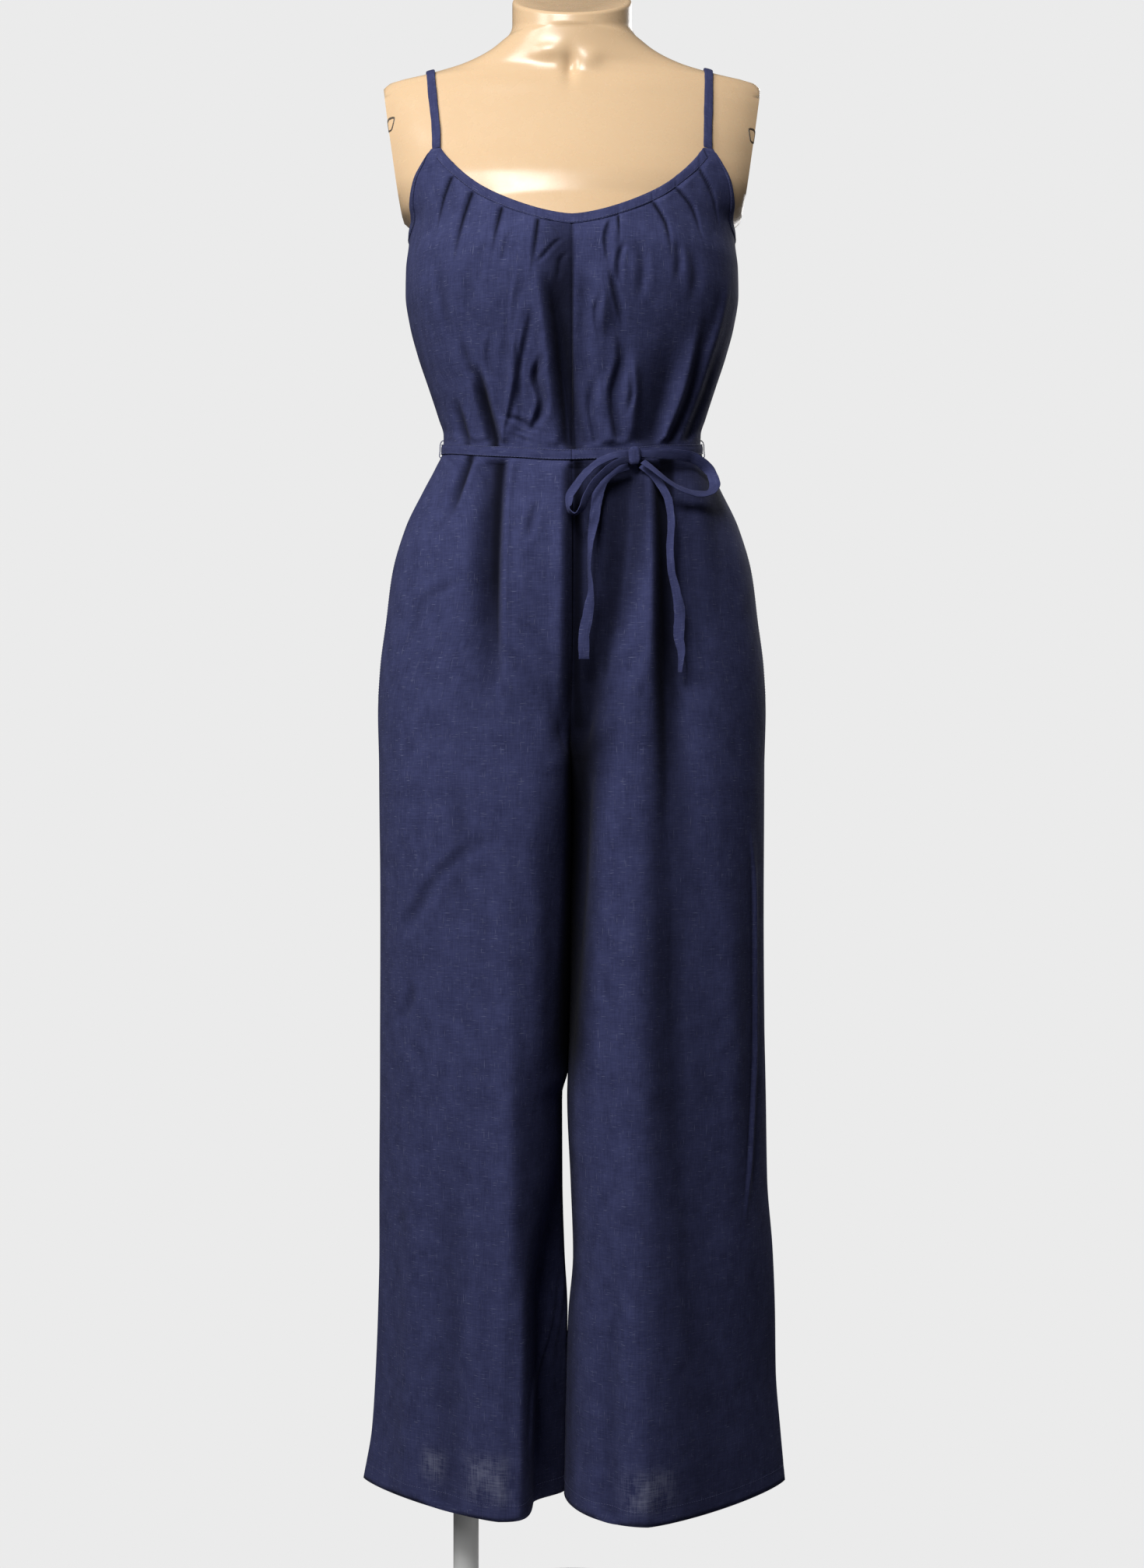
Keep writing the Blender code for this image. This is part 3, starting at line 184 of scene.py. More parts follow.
NECK_EDGE = 0.004  # radius of the cut's rounded edge
NECK_FLOW = 0.45  # share of the neck's height over which the shoulders flow into it
QUARTER_COLUMNS = 40  # columns from the middle to the edge of the arm plate
ARM_CUT_LOW, ARM_CUT_HIGH = (1.3915, 0.1660), (1.5215, 0.1854)  # height and half width
# Soft swells (and hollows) of the form's front: place in the front view, half sizes and height.
Swell = namedtuple("Swell", "x z half_x half_z height")
THROAT = in_metres(Swell, 0, [
    (-2, 1531, 6.5, 15, -5), (-22, 1548, 14, 8, 3), (17, 1540, 11, 9, 3), (-75, 1518, 45, 10, 2.2),
    (75, 1516, 45, 10, 2.2),
])
BEIGE, BEIGE_WORN = (0.67, 0.48, 0.295), (0.63, 0.435, 0.255)


def smooth_between(places, values, at):
    """A smooth curve through a table's values that never overshoots them."""
    places, values = np.asarray(places, float), np.asarray(values, float)
    step = np.diff(places)
    rise = np.diff(values) / step
    slope = np.zeros(len(values))
    slope[0], slope[-1] = rise[0], rise[-1]
    product = rise[:-1] * rise[1:]
    total = np.where(product > 0, rise[:-1] + rise[1:], 1.0)
    slope[1:-1] = np.where(product > 0, 2 * product / total, 0.0)
    k = np.clip(np.searchsorted(places, at, side="right") - 1, 0, len(step) - 1)
    t = np.clip((at - places[k]) / step[k], 0.0, 1.0)
    return (
        values[k] * (1 + 2 * t) * (1 - t) ** 2
        + slope[k] * step[k] * t * (1 - t) ** 2
        + values[k + 1] * t * t * (3 - 2 * t)
        + slope[k + 1] * step[k] * t * t * (t - 1)
    )


def table_at(rows, z):
    """The columns of a table at height z, after the height's own."""
    table = np.array(sorted(rows))
    return (smooth_between(table[:, 0], table[:, k], z) for k in range(1, table.shape[1]))


def ease(t):
    """From 0 to 1 and level at both ends."""
    t = np.clip(t, 0.0, 1.0)
    return t * t * (3 - 2 * t)


def section_radius(rows, angle, z):
    """Distance from the axis to a rounded section, in the direction of an angle."""
    wide, front, back, power = table_at(rows, z)
    deep = np.where(np.cos(angle) >= 0, front, back)
    return (np.abs(np.sin(angle) / wide) ** power + np.abs(np.cos(angle) / deep) ** power) ** (-1 / power)


def arm_cut(z):
    """Half width of the form at the flat cut where an arm would start."""
    (low, narrow), (high, wide) = ARM_CUT_LOW, ARM_CUT_HIGH
    return narrow + (wide - narrow) / (high - low) * (z - low)


def form_radius(angle, z):
    radius = section_radius(FORM, angle, z)
    return np.minimum(radius, arm_cut(z) / np.maximum(np.abs(np.sin(angle)), 1e-6))


def last_inside(inside, low, high):
    """The last value from low to high for which inside holds, found by halving."""
    for _ in range(40):
        middle = 0.5 * (low + high)
        held = inside(middle)
        low, high = np.where(held, middle, low), np.where(held, high, middle)
    return 0.5 * (low + high)


def unit(vectors):
    """The vectors, each one long."""
    return vectors / np.linalg.norm(vectors, axis=-1, keepdims=True)


def outward_of(points):
    """The level direction from the axis to each point."""
    return unit(points * np.array([1.0, 1.0, 0.0]))


def oval(turns, wide, high):
    """A ring across and up, each part with the power of its roundness."""
    across, up = np.cos(turns), np.sin(turns)
    return np.sign(across) * np.abs(across) ** wide, np.sign(up) * np.abs(up) ** high


def surface(name, recipe):
    """A new material, with what the recipe says for its shader."""
    material = bpy.data.materials.new(name)
    material.use_nodes = True
    tree = material.node_tree
    feed(tree, tree.nodes["Principled BSDF"], recipe(tree))
    return material


def noise(tree, scale, detail, place=None, **more):
    """Noise over the object, or over a place that is given."""
    place = place or add_node(tree, "ShaderNodeTexCoord").outputs["Object"]
    grain = {"Vector": place, "Scale": scale, "Detail": detail, **more}
    return add_node(tree, "ShaderNodeTexNoise", grain).outputs["Fac"]


def blend(tree, share, *colours):
    """A mix of two colours, each a colour or a socket."""
    first, second = (c if isinstance(c, bpy.types.NodeSocket) else (*c, 1) for c in colours)
    mix = {"Factor": share, "A": first, "B": second}
    return add_node(tree, "ShaderNodeMix", mix, data_type="RGBA").outputs["Result"]


def bump(tree, height, distance, strength, **under):
    relief = {"Height": height, "Distance": distance, "Strength": strength, **under}
    return add_node(tree, "ShaderNodeBump", relief).outputs["Normal"]


def moulded_plastic(tree):
    """Glossy beige plastic with a faint cloudiness, fine scuffs and a hardly wavy skin."""
    return {
        "Base Color": blend(tree, noise(tree, 9.0, 3.0), BEIGE, BEIGE_WORN),
        "Roughness": between(tree, noise(tree, 60.0, 4.0), 0.20, 0.34),
        "Normal": bump(tree, noise(tree, 22.0, 1.0), 0.0004, 0.5),
        "Subsurface Weight": 0.06,
        "Subsurface Radius": (0.006, 0.003, 0.0015),
    }


def mesh_object(name, points, faces, material):
    """A smooth object made of points and faces."""
    mesh = bpy.data.meshes.new(name)
    mesh.from_pydata(np.asarray(points, float).tolist(), [], [[int(k) for k in face] for face in faces])
    mesh.shade_smooth()
    mesh.materials.append(material)
    return add_object(name, mesh)


def normals_out(mesh):
    shell = bmesh.new()
    shell.from_mesh(mesh)
    bmesh.ops.recalc_face_normals(shell, faces=shell.faces)
    shell.to_mesh(mesh)
    shell.free()


def finish_mesh(name, points, faces, material, sharp=180.0):
    """An object with its normals out, and with crisp edges where faces meet at more than sharp degrees."""
    made = mesh_object(name, points, faces, material)
    normals_out(made.data)
    if sharp < 180.0:
        made.data.set_sharp_from_angle(angle=np.radians(sharp))
    return made


def ring_faces(rings, count):
    """The faces between closed rings of points, one after the other."""
    k, i = np.meshgrid(np.arange(rings - 1), np.arange(count), indexing="ij")
    here, after = k * count, (i + 1) % count
    return np.stack([here + i, here + after, here + count + after, here + count + i], -1).reshape(-1, 4)


def capped(rings):
    """Points and faces of closed rings, with a face over each end."""
    count, last = len(rings[0]), len(rings) - 1
    ends = [list(range(count))[::-1], [last * count + i for i in range(count)]]
    return np.concatenate(rings), ring_faces(len(rings), count).tolist() + ends


def form_quarter(level, back):
    """Angles of a quarter of the form, with one column on the edge of the flat arm plate."""

    def inside(angle):
        return section_radius(FORM, np.pi - angle if back else angle, level) * np.sin(angle) < arm_cut(level)

    corner = last_inside(inside, np.radians(30.0), np.radians(87.0))
    plate = np.linspace(corner, np.pi / 2, 9)
    return np.concatenate([np.linspace(0, corner, QUARTER_COLUMNS, endpoint=False), plate])


def make_dress_form():
    levels = np.concatenate([np.linspace(*stretch) for stretch in FORM_LEVELS])
    rings = []
    for z in levels:
        front, back = form_quarter(z, False), np.pi - form_quarter(z, True)[-2::-1]
        half = np.concatenate([front, back])
        turns = np.concatenate([half, 2 * np.pi - half[-2:0:-1]])
        radius = form_radius(np.where(turns > np.pi, 2 * np.pi - turns, turns), np.full_like(turns, z))
        x = radius * np.sin(turns)
        swell = np.zeros_like(x)
        for s in THROAT:
            swell += s.height * np.exp(-(((x - s.x) / s.half_x) ** 2) - ((z - s.z) / s.half_z) ** 2)
        radius = radius + swell * (np.cos(turns) > 0) * ease(np.abs(np.cos(turns)) / 0.4)
        rings.append(np.stack([radius * np.sin(turns), -radius * np.cos(turns), np.full_like(x, z)], -1))
    turns = np.arctan2(rings[-1][:, 0], -rings[-1][:, 1])
    for rise in [*np.linspace(0.05, 0.93, 18), 1.0]:
        x = NECK_RADIUS_X * np.sin(turns)
        y = -np.where(np.cos(turns) > 0, NECK_FRONT_RADIUS, NECK_BACK_RADIUS) * np.cos(turns)
        start = rings[len(levels) - 1]
        flow = 1 - (1 - min(rise / NECK_FLOW, 1.0)) ** 2
        x, y = start[:, 0] + (x - start[:, 0]) * flow, start[:, 1] + (y - start[:, 1]) * flow
        cut = NECK_CUT_FRONT + NECK_CUT_SLOPE * (y + NECK_FRONT_RADIUS) - NECK_EDGE
        z = FORM[-1].z + (cut - FORM[-1].z) * rise
        rings.append(np.stack([x, y, z], -1))
    rim, inward = rings[-1], outward_of(rings[-1])
    for turn in np.radians((30, 60, 90)):
        rings.append(rim - inward * NECK_EDGE * (1 - np.cos(turn)) + [0, 0, NECK_EDGE * np.sin(turn)])
    form = finish_mesh("dress_form", *capped(rings), surface("beige_form_plastic", moulded_plastic), sharp=32)
    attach(form, "root")
    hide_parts("form_torso")


SLOT_PLACES = {RIGHT: 1.484, LEFT: 1.472}
SLOT_HALF_HEIGHT, SLOT_HALF_WIDTH, SLOT_IN = 0.0075, 0.020, 0.012  # metres, and radians round the form
SLOT_DARK, SLOT_PALE = (0.045, 0.032, 0.022), (0.120, 0.088, 0.060)
# The rings of a slot: size and distance from the form.
SLOT_RINGS = ((1.0, -0.0006), (1.0, 0.0005), (0.85, 0.0006), (0.72, -0.0002), (0.05, -0.0003))


def slot_plastic(tree):
    """Dark matt plastic with a fine grain."""
    return {"Base Color": blend(tree, noise(tree, 900.0, 2.0), SLOT_DARK, SLOT_PALE), "Roughness": 0.6}


def make_fitting_slots():
    """The dark slot at the edge of each arm plate, that an arm would be hooked into."""
    plastic = surface("fitting_slot_plastic", slot_plastic)
    wide, high = oval(np.linspace(0, 2 * np.pi, 32, endpoint=False), 0.6, 0.5)
    for side, z in SLOT_PLACES.items():
        corner = form_quarter(z, False)[QUARTER_COLUMNS]
        rings = []
        for size, lift in SLOT_RINGS:
            level = z + SLOT_HALF_HEIGHT * size * high
            angle = corner - SLOT_IN + SLOT_HALF_WIDTH * size * wide
            radius = form_radius(angle, level) + lift
            rings.append(np.stack([side * radius * np.sin(angle), -radius * np.cos(angle), level], -1))
        word = dict(SIDES)[side]
        made = finish_mesh(f"fitting_slot_{word}", np.concatenate(rings), ring_faces(5, 32), plastic, sharp=40)
        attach(made, "root")


make_dress_form()
make_fitting_slots()

# ---------------------------------------------------------------- stand
# A round steel plate on the floor and one steel tube, which goes up the right leg to the form's underside.
# Both are powder coated in off-white.
BASE_RADIUS, BASE_THICK, BASE_Y, BASE_EDGE = 0.160, 0.008, -0.010, 0.0015
POLE_RADIUS, POLE_X, POLE_Y = 0.0125, -0.105, 0.005
STAND_WHITE = (0.80, 0.80, 0.79)


def powder_coat(tree):
    """Off-white powder coat with a slight orange peel and a few marks."""
    return {
        "Base Color": blend(tree, noise(tree, 14.0, 5.0), STAND_WHITE, [0.93 * c for c in STAND_WHITE]),
        "Roughness": 0.42,
        "Normal": bump(tree, noise(tree, 900.0, 2.0), 0.0001, 0.4),
    }


def turned(name, profile, centre, material, steps):
    """A piece turned round an upright axis, from a profile of radius and height."""
    turns = np.linspace(0, 2 * np.pi, steps, endpoint=False)
    x, y = centre
    rings = [
        np.stack([x + radius * np.cos(turns), y + radius * np.sin(turns), np.full(steps, z)], -1)
        for radius, z in profile
    ]
    return finish_mesh(name, *capped(rings), material, sharp=35)


def rounded_edge(radius, z, size, up):
    """Points of a rounded rim, from the wall to the face."""
    turns = np.radians([0, 22.5, 45, 67.5, 90])
    return [(radius - size * (1 - np.cos(t)), z + up * size * (np.sin(t) - 1)) for t in turns]


def make_stand():
    coat = surface("off_white_powder_coat", powder_coat)
    rim = rounded_edge(BASE_RADIUS, 0.0, BASE_EDGE, -1)[::-1]
    rim += rounded_edge(BASE_RADIUS, BASE_THICK, BASE_EDGE, 1)
    plate = turned("base_plate", rim, (0.0, BASE_Y), coat, 160)
    low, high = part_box("stand_pole")
    pole = turned("pole", [(POLE_RADIUS, low.z), (POLE_RADIUS, high.z)], (POLE_X, POLE_Y), coat, 64)
    for made, node in ((plate, "stand_base"), (pole, "stand_pole")):
        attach(made, "root")
        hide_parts(node)


make_stand()

# ---------------------------------------------------------------- bodice fronts
# Two front pieces of navy linen, joined at the centre. Pleats are pressed into the neckline, each lying
# over its neighbour towards the centre, and the tie draws the cloth into soft folds at the waist.
SEAM_GAP, SEAM_DIP, SEAM_DIP_REACH = 0.0003, 0.0007, 0.0016
WAIST = 1.170  # level of the waist at the side seams
WAIST_DIP = 0.020  # how much lower the waist lies at centre front, and half of it higher at the back
WAIST_SPREAD = 0.075  # how far above and below the waist the dip is felt
UNDERARM = 1.383
STRAP_SEAT = 1.449
NECK_FRONT = 1.371
NECK_HALF = 0.1255  # half width of the neckline, up to the strap
SEAT_WIDTH = 0.0095
BODY_CLEAR, BODY_BEND = 0.0038, 0.004  # least distance from the form, and how softly the cloth turns there
TIE_WIDTH = 0.0115
TIE_FLAT, TIE_RISE = 0.0002, 0.007  # folds are flat this far past the tie's edges, and full so much further
GATHER_HEIGHT, GATHER_REACH = 0.00035, 0.020
SIDE_CALM = 0.06  # folds die away where the cloth faces this little to the front or back
FOLD_ASIDE = 0.2  # share of a fold's height that also moves it sideways
BAND_WIDTH = 0.010
CLOTH_WALL = 0.0008
CLOTH = in_metres(Section, 1, [
    (860, 189.5, 116, 126, 2.3), (907, 191, 119, 131, 2.3), (953, 188.5, 121, 133, 2.3),
    (999, 182.7, 121, 130, 2.3), (1045, 177, 119, 123, 2.25), (1092, 163.8, 112, 112, 2.2),
    (1130, 145.5, 103, 102, 2.15), (1153, 133.5, 96, 94, 2.1), (1170, 126.2, 90, 88, 2.1),
    (1184, 126.2, 91, 89, 2.1), (1200, 131, 94, 90, 2.1), (1230, 141, 102, 93, 2.15),
    (1261, 151.5, 112, 97, 2.2), (1292, 159.6, 122, 100, 2.2), (1320, 163.5, 127, 101, 2.2),
    (1345, 163, 126, 101, 2.2), (1370, 160, 115, 101, 2.2), (1395, 158.5, 106, 100, 2.2),
    (1430, 165, 90, 99, 2.1), (1460, 170, 78, 97, 2),
])
# A crease goes down through its points (x, z) of the front view. It is width wide beside its line (wider
# at the greater x and narrower at the lesser by the share lean) and height high, or a trough where
# negative, with a low bank on each side. It rises over the share start of its length and fades over the
# share end.
Crease = namedtuple("Crease", "points width height lean start end")
BODICE_CREASES = in_metres(Crease, 3, [
    ([(-92, 1240), (-83, 1205), (-69, 1152)], 6, -15, -0.35, 0.35, 0.02),
    ([(-99, 1232), (-90, 1200), (-80, 1164)], 4.5, 4, 0, 0.35, 0.1),
    ([(-112, 1212), (-106, 1190), (-97, 1158)], 4.5, -10.5, -0.3, 0.45, 0.02),
    ([(-41, 1312), (-55, 1239), (-65, 1160)], 6, 5.2, 0.3, 0.5, 0.1),
    ([(-33, 1345), (-20, 1310), (-13, 1262), (-8, 1210), (-1, 1152)], 13, -12, 0.45, 0.35, 0.03),
    ([(-18, 1300), (-10, 1250), (-4, 1200), (3, 1152)], 6.2, -8, 0.3, 0.5, 0.03),
    ([(-42, 1330), (-30, 1290), (-23, 1240), (-16, 1180)], 6, 4, 0, 0.4, 0.3),
    ([(-28, 1246), (-35, 1222), (-29, 1200), (-38, 1172)], 3.6, -6.2, 0.3, 0.3, 0.2),
    ([(-62, 1190), (-47, 1182), (-34, 1172)], 3, -3.8, 0, 0.3, 0.2),
    ([(-52, 1173), (-40, 1166)], 2.2, 2, 0, 0.3, 0.2),
    ([(-48, 1228), (-50, 1205), (-46, 1180)], 3.4, -3.2, 0, 0.4, 0.3),
    ([(-75, 1270), (-79, 1240), (-74, 1212)], 3.6, -2.6, 0.2, 0.4, 0.4),
    ([(-105, 1262), (-101, 1244), (-93, 1222)], 3.4, -4, 0, 0.4, 0.3),
    ([(-130, 1345), (-124, 1300), (-113, 1255)], 5, -3.6, 0.2, 0.4, 0.4),
    ([(-48, 1330), (-56, 1290), (-59, 1235)], 3, 2.2, 0.4, 0.4, 0.4),
    ([(-35, 1292), (-45, 1250), (-54, 1205), (-64, 1166)], 2.8, -3.4, 0.3, 0.4, 0.2),
    ([(-65, 1320), (-60, 1345), (-52, 1360)], 2.6, -2, 0, 0.3, 0.3),
    ([(-88, 1300), (-85, 1330), (-79, 1352)], 3, -2, 0, 0.3, 0.3),
    ([(-54, 1262), (-50, 1240), (-52, 1215)], 2.8, -2.6, 0, 0.4, 0.4),
    ([(-90, 1345), (-98, 1300), (-96, 1262)], 6, -2.6, 0.2, 0.5, 0.5),
    ([(-24, 1367), (-15, 1356), (-8, 1346)], 2, -1.6, 0, 0.2, 0.3),
    ([(-9, 1347), (-20, 1336), (-33, 1321)], 2.2, -2.4, 0, 0.2, 0.4),
    ([(-4, 1335), (-11, 1322), (-12, 1305)], 2.6, -2.2, 0, 0.3, 0.4),
    ([(28, 1330), (30, 1290), (23, 1248)], 7, 4.2, 0, 0.5, 0.4),
    ([(40, 1275), (46, 1240), (38, 1205), (44, 1160)], 5, -5.2, 0.3, 0.4, 0.1),
    ([(22, 1230), (18, 1195), (24, 1158)], 4, -4.6, 0, 0.4, 0.1),
    ([(56, 1250), (58, 1210), (56, 1160)], 5.5, 4.6, 0, 0.4, 0.2),
    ([(60, 1350), (66, 1320), (62, 1285)], 4.5, -2.8, 0, 0.4, 0.4),
    ([(100, 1280), (88, 1225), (72, 1154)], 12.5, -9.5, -0.3, 0.6, 0.03),
    ([(122, 1285), (105, 1215), (80, 1156)], 5.5, 5.6, 0, 0.5, 0.05),
    ([(131, 1300), (115, 1220), (89, 1156)], 5.2, -8.8, 0.3, 0.6, 0.03),
    ([(146, 1300), (127, 1235), (99, 1164)], 5, 4.6, 0, 0.5, 0.1),
    ([(144, 1270), (129, 1220), (108, 1164)], 4.2, -8, 0, 0.4, 0.1),
    ([(108, 1350), (116, 1320), (113, 1290)], 5, -3.4, 0.2, 0.4, 0.4),
    ([(12, 1330), (10, 1260), (16, 1180)], 5.5, -3.6, 0, 0.4, 0.2),
    ([(36, 1368), (31, 1345), (35, 1318)], 2.8, -3.6, 0.3, 0.2, 0.5),
    ([(48, 1345), (43, 1322), (46, 1300)], 2.6, -3, 0, 0.3, 0.4),
    ([(35, 1318), (41, 1290), (50, 1262)], 3, -3.4, 0.3, 0.3, 0.4),
    ([(26, 1300), (22, 1275), (27, 1250)], 2.8, -3, 0, 0.4, 0.4),
    ([(52, 1235), (56, 1210), (52, 1185)], 2.8, -3.4, 0, 0.4, 0.4),
    ([(96, 1352), (100, 1330), (98, 1305)], 3.5, -2.6, 0, 0.3, 0.4),
    ([(152, 1330), (143, 1285), (128, 1240)], 3.6, 3.6, 0, 0.4, 0.4),
])
# Pleats: their lines, depths and how wide the pressed edge is felt.
Pleat = namedtuple("Pleat", "points depth width")
PLEATS = in_metres(Pleat, 0, [
    ([(-32, 1379), (-34.5, 1350), (-42, 1304)], 3.6, 8.5),
    ([(-65.5, 1385), (-70, 1366), (-76.5, 1332)], 3.6, 8),
    ([(-94, 1402), (-103.5, 1372), (-114, 1326)], 4.2, 8),
    ([(-113, 1418), (-121.5, 1398), (-130, 1362)], 3.4, 6.5),
    ([(44, 1376), (44.5, 1362), (45, 1338)], 2, 7),
    ([(76, 1389), (89, 1364), (95, 1326)], 3.4, 8),
    ([(99, 1404), (114, 1386), (125, 1352)], 3.4, 7.5),
    ([(122, 1424), (133, 1404), (142, 1370)], 2.8, 6.5),
])
# How sharply a pleat turns, how far it is felt and where its folded edge lies, in its own widths; how dark
# the painted shade beside it is, and the share of its length over which it fades.
PLEAT_TURN, PLEAT_REACH, PLEAT_EDGE, PLEAT_DARK, PLEAT_FADE = 0.12, 2.1, 0.14, 0.97, 0.75
LINEN_DARK, LINEN_PALE = (0.023, 0.026, 0.071), (0.055, 0.062, 0.152)
LINEN_PAINTED_BACKLIGHT = (0.20, 0.21, 0.29)  # painted backlight: a pale colour where light from behind would come through a single layer
LINEN_PAINTED_SHADE = (0.0022, 0.0024, 0.0062)  # painted shade: the colour mixed in deep in a fold, where hardly any light comes
# Painted shade in folds: the depth at which it is full, how far to each side the cloth around is read, and its
# darkest.
TUCK_DEPTH, TUCK_REACH, TUCK_DARK = 0.0060, 0.011, 0.94
FOLD_DARK, BLACK_FOLD = 0.96, 0.0150  # painted shade in troughs: its darkest, and the trough depth at which it is full, as hardly any light gets in
BANK_HEIGHT, BANK_PLACE = 0.22, 2.0  # of a crease's height and width
LINEN_SLUB = (0.140, 0.152, 0.255)
LAP_ASIDE, LAP_UNDER = 0.0014, 0.0012  # how a centre seam's turning lies under the left piece
STRAIGHT_THREAD = 0.060  # distance from the centre of the thread that hangs straight
LINEN_THREAD = 0.0009  # metres from one thread of the weave to the next


LEAN_STEP = 0.001  # how far above and below a point the slant of its crease is read


def crease_line(points, z):
    """Where a line through points lies at height z, how far down it that is, and its slant's cosine."""
    places, heights = np.array(sorted(points, key=lambda point: point[1])).T
    x, above, below = (smooth_between(heights, places, z + step) for step in (0, LEAN_STEP, -LEAN_STEP))
    share = (heights[-1] - z) / (heights[-1] - heights[0])
    return x, share, 1 / np.sqrt(1 + ((above - below) / (2 * LEAN_STEP)) ** 2)


def crease_parts(creases, x, z):
    """Each crease with the distance beside its line, in widths, and how full it is at that height."""
    for crease in creases:
        line, share, slant = crease_line(crease.points, z)
        beside = (x - line) * slant / crease.width
        beside = beside / np.where(beside > 0, 1 + crease.lean, 1 - crease.lean)
        yield crease, beside, ease(share / crease.start) * ease((1 - share) / crease.end)


def crease_height(creases, x, z):
    """How far the creases lift the cloth, at a point of the front or back view."""
    height = np.zeros_like(x)
    for crease, beside, full in crease_parts(creases, x, z):
        bank = BANK_HEIGHT * np.exp(-((np.abs(beside) - BANK_PLACE) ** 2))
        height += crease.height * full * (np.exp(-(beside**2)) - bank)
    return height


def crease_shade(creases, x, z):
    """Painted shade of the troughs at a point of the front or back view, from 0 to 1."""
    shade = np.zeros_like(x)
    for crease, beside, full in crease_parts([c for c in creases if c.height < 0], x, z):
        deep = min(-crease.height / BLACK_FOLD, 1.0)
        shade = np.maximum(shade, FOLD_DARK * deep * full * np.exp(-((np.abs(beside) / 0.85) ** 2.5)))
    return shade


# A place where the shade of a deep fold is painted into the cloth, by rows: where the painted shade
# starts and is full, ends being full and ends, and how dark it is.
Shade = namedtuple("Shade", "z start full_from full_to end dark")
# Painted shade beside the centre seam of the bodice front.
CENTRE_SHADE = [in_metres(Shade, 1, [
    (1372, -40, -10, -1, 3, 0.35), (1332, -37, -10, 0, 4, 0.7), (1296, -29, -18, 0, 3, 0.84),
    (1260, -20, -12, 0, 3, 0.86), (1194, -9, -4, 1, 5, 0.88), (1155, -4, 0, 3, 7, 0.9),
])]


def place_shade(places, x, z):
    """How dark the painted shade of the shaded places is at a point of the front view, from 0 to 1."""
    shade = np.zeros_like(x)
    for rows in places:
        start, full_from, full_to, end, dark = table_at(rows, z)
        across = ease((x - start) / (full_from - start)) * ease((end - x) / (end - full_to))
        shade = np.maximum(shade, dark * across)
    return shade


def pleats(x, z, below):
    """Pressed pleats, each lying over the cloth towards the centre: their height, and the painted shade
    beside their folded edge."""
    height, shade = np.zeros_like(x), np.zeros_like(x)
    for pleat in PLEATS:
        line, share, slant = crease_line(pleat.points, z)
        s = (x - line) * slant / pleat.width * (1 if line.mean() < 0 else -1)
        fade = ease((below - BAND_WIDTH + 0.001) / 0.004) * ease((1 - share) / PLEAT_FADE)
        height += pleat.depth * fade * (0.5 - 0.5 * np.tanh(s / PLEAT_TURN)) * np.exp(-((s / PLEAT_REACH) ** 2))
        beside = (s - PLEAT_EDGE) / np.where(s < PLEAT_EDGE, 0.10, 0.30)
        shade = np.maximum(shade, PLEAT_DARK * fade**0.6 * np.exp(-(beside**2)))
    return height, shade


def drop(angle, level):
    """How much lower than its level a point lies, because the waist dips at the front."""
    near_waist = np.exp(-(((level - WAIST) / WAIST_SPREAD) ** 2))
    return WAIST_DIP * np.cos(angle) * np.where(np.cos(angle) > 0, 1.0, 0.5) * near_waist


def gathers(angle, level):
    """Fine gathers just above and below the tie."""
    wave = np.sin(angle * 31 + 0.7) + 0.7 * np.sin(angle * 47 + 2.1) + 0.6 * np.sin(angle * 71)
    return GATHER_HEIGHT * wave * np.exp(-(((level - WAIST) / GATHER_REACH) ** 2))


def clear_of(least, radius, bend):
    """The radius, or the least radius where that is more, with a soft turn from one to the other."""
    return 0.5 * (radius + least + np.sqrt((radius - least) ** 2 + bend**2))


def torso(side, angle, level, creases, inset=0.0):
    """A point of the cloth above the crotch: front pieces at angles to 90 degrees, back pieces past it.
    inset is the depth below the cloth's outside."""
    z = level - drop(angle, level)
    plain = section_radius(CLOTH, angle, level)
    x = side * plain * np.sin(angle)
    at_tie = ease((np.abs(level - WAIST) - TIE_WIDTH / 2 - TIE_FLAT) / TIE_RISE)
    at_side = ease(np.abs(np.cos(angle)) / SIDE_CALM)
    height = (crease_height(creases, x, z) + gathers(side * angle, level)) * at_tie * at_side
    least = form_radius(angle, z) + BODY_CLEAR
    radius, folded = (clear_of(least, plain + lift, BODY_BEND) for lift in (0.0, height))
    lift = folded - radius
    ahead, _ = oval(angle, 0.7, 1)
    x = (radius - inset + FOLD_ASIDE * lift) * np.sin(angle)
    return np.stack([side * x, -(radius - inset) * np.cos(angle) - lift * ahead, z], axis=-1)


def solve_angle(x, level, side=LEFT):
    """The angle of the front cloth at a distance x from the centre, at a level."""

    def inside(angle):
        return side * torso(side, angle, level, [])[..., 0] < x

    return last_inside(inside, np.zeros_like(x), np.full_like(x, np.pi / 2))


def neckline(x):
    """Height of the front neckline at a distance from the centre."""
    share = np.clip(x / NECK_HALF, 0, 1)
    return NECK_FRONT + (STRAP_SEAT - NECK_FRONT) * (0.76 * share**1.6 + 0.24 * share**6)


SEAT_IN, SEAT_OUT = solve_angle(np.array([NECK_HALF, NECK_HALF + SEAT_WIDTH]), np.full(2, STRAP_SEAT))


def front_top(angle):
    """Level of the front bodice's upper edge: neckline, strap seat, armhole."""
    z = np.full_like(angle, NECK_FRONT)
    for _ in range(8):
        z = neckline(torso(LEFT, angle, z, [])[..., 0])
    down = np.clip((angle - SEAT_OUT) / (np.pi / 2 - SEAT_OUT), 0, 1)
    armhole = UNDERARM + (STRAP_SEAT - UNDERARM) * (1 - down) ** 4
    return np.where(angle < SEAT_IN, z, np.where(angle < SEAT_OUT, STRAP_SEAT, armhole))


def calculate(tree, operation, *values):
    """A sum, a product or the like, of values or sockets."""
    return add_node(tree, "ShaderNodeMath", dict(enumerate(values)), operation=operation).outputs[0]


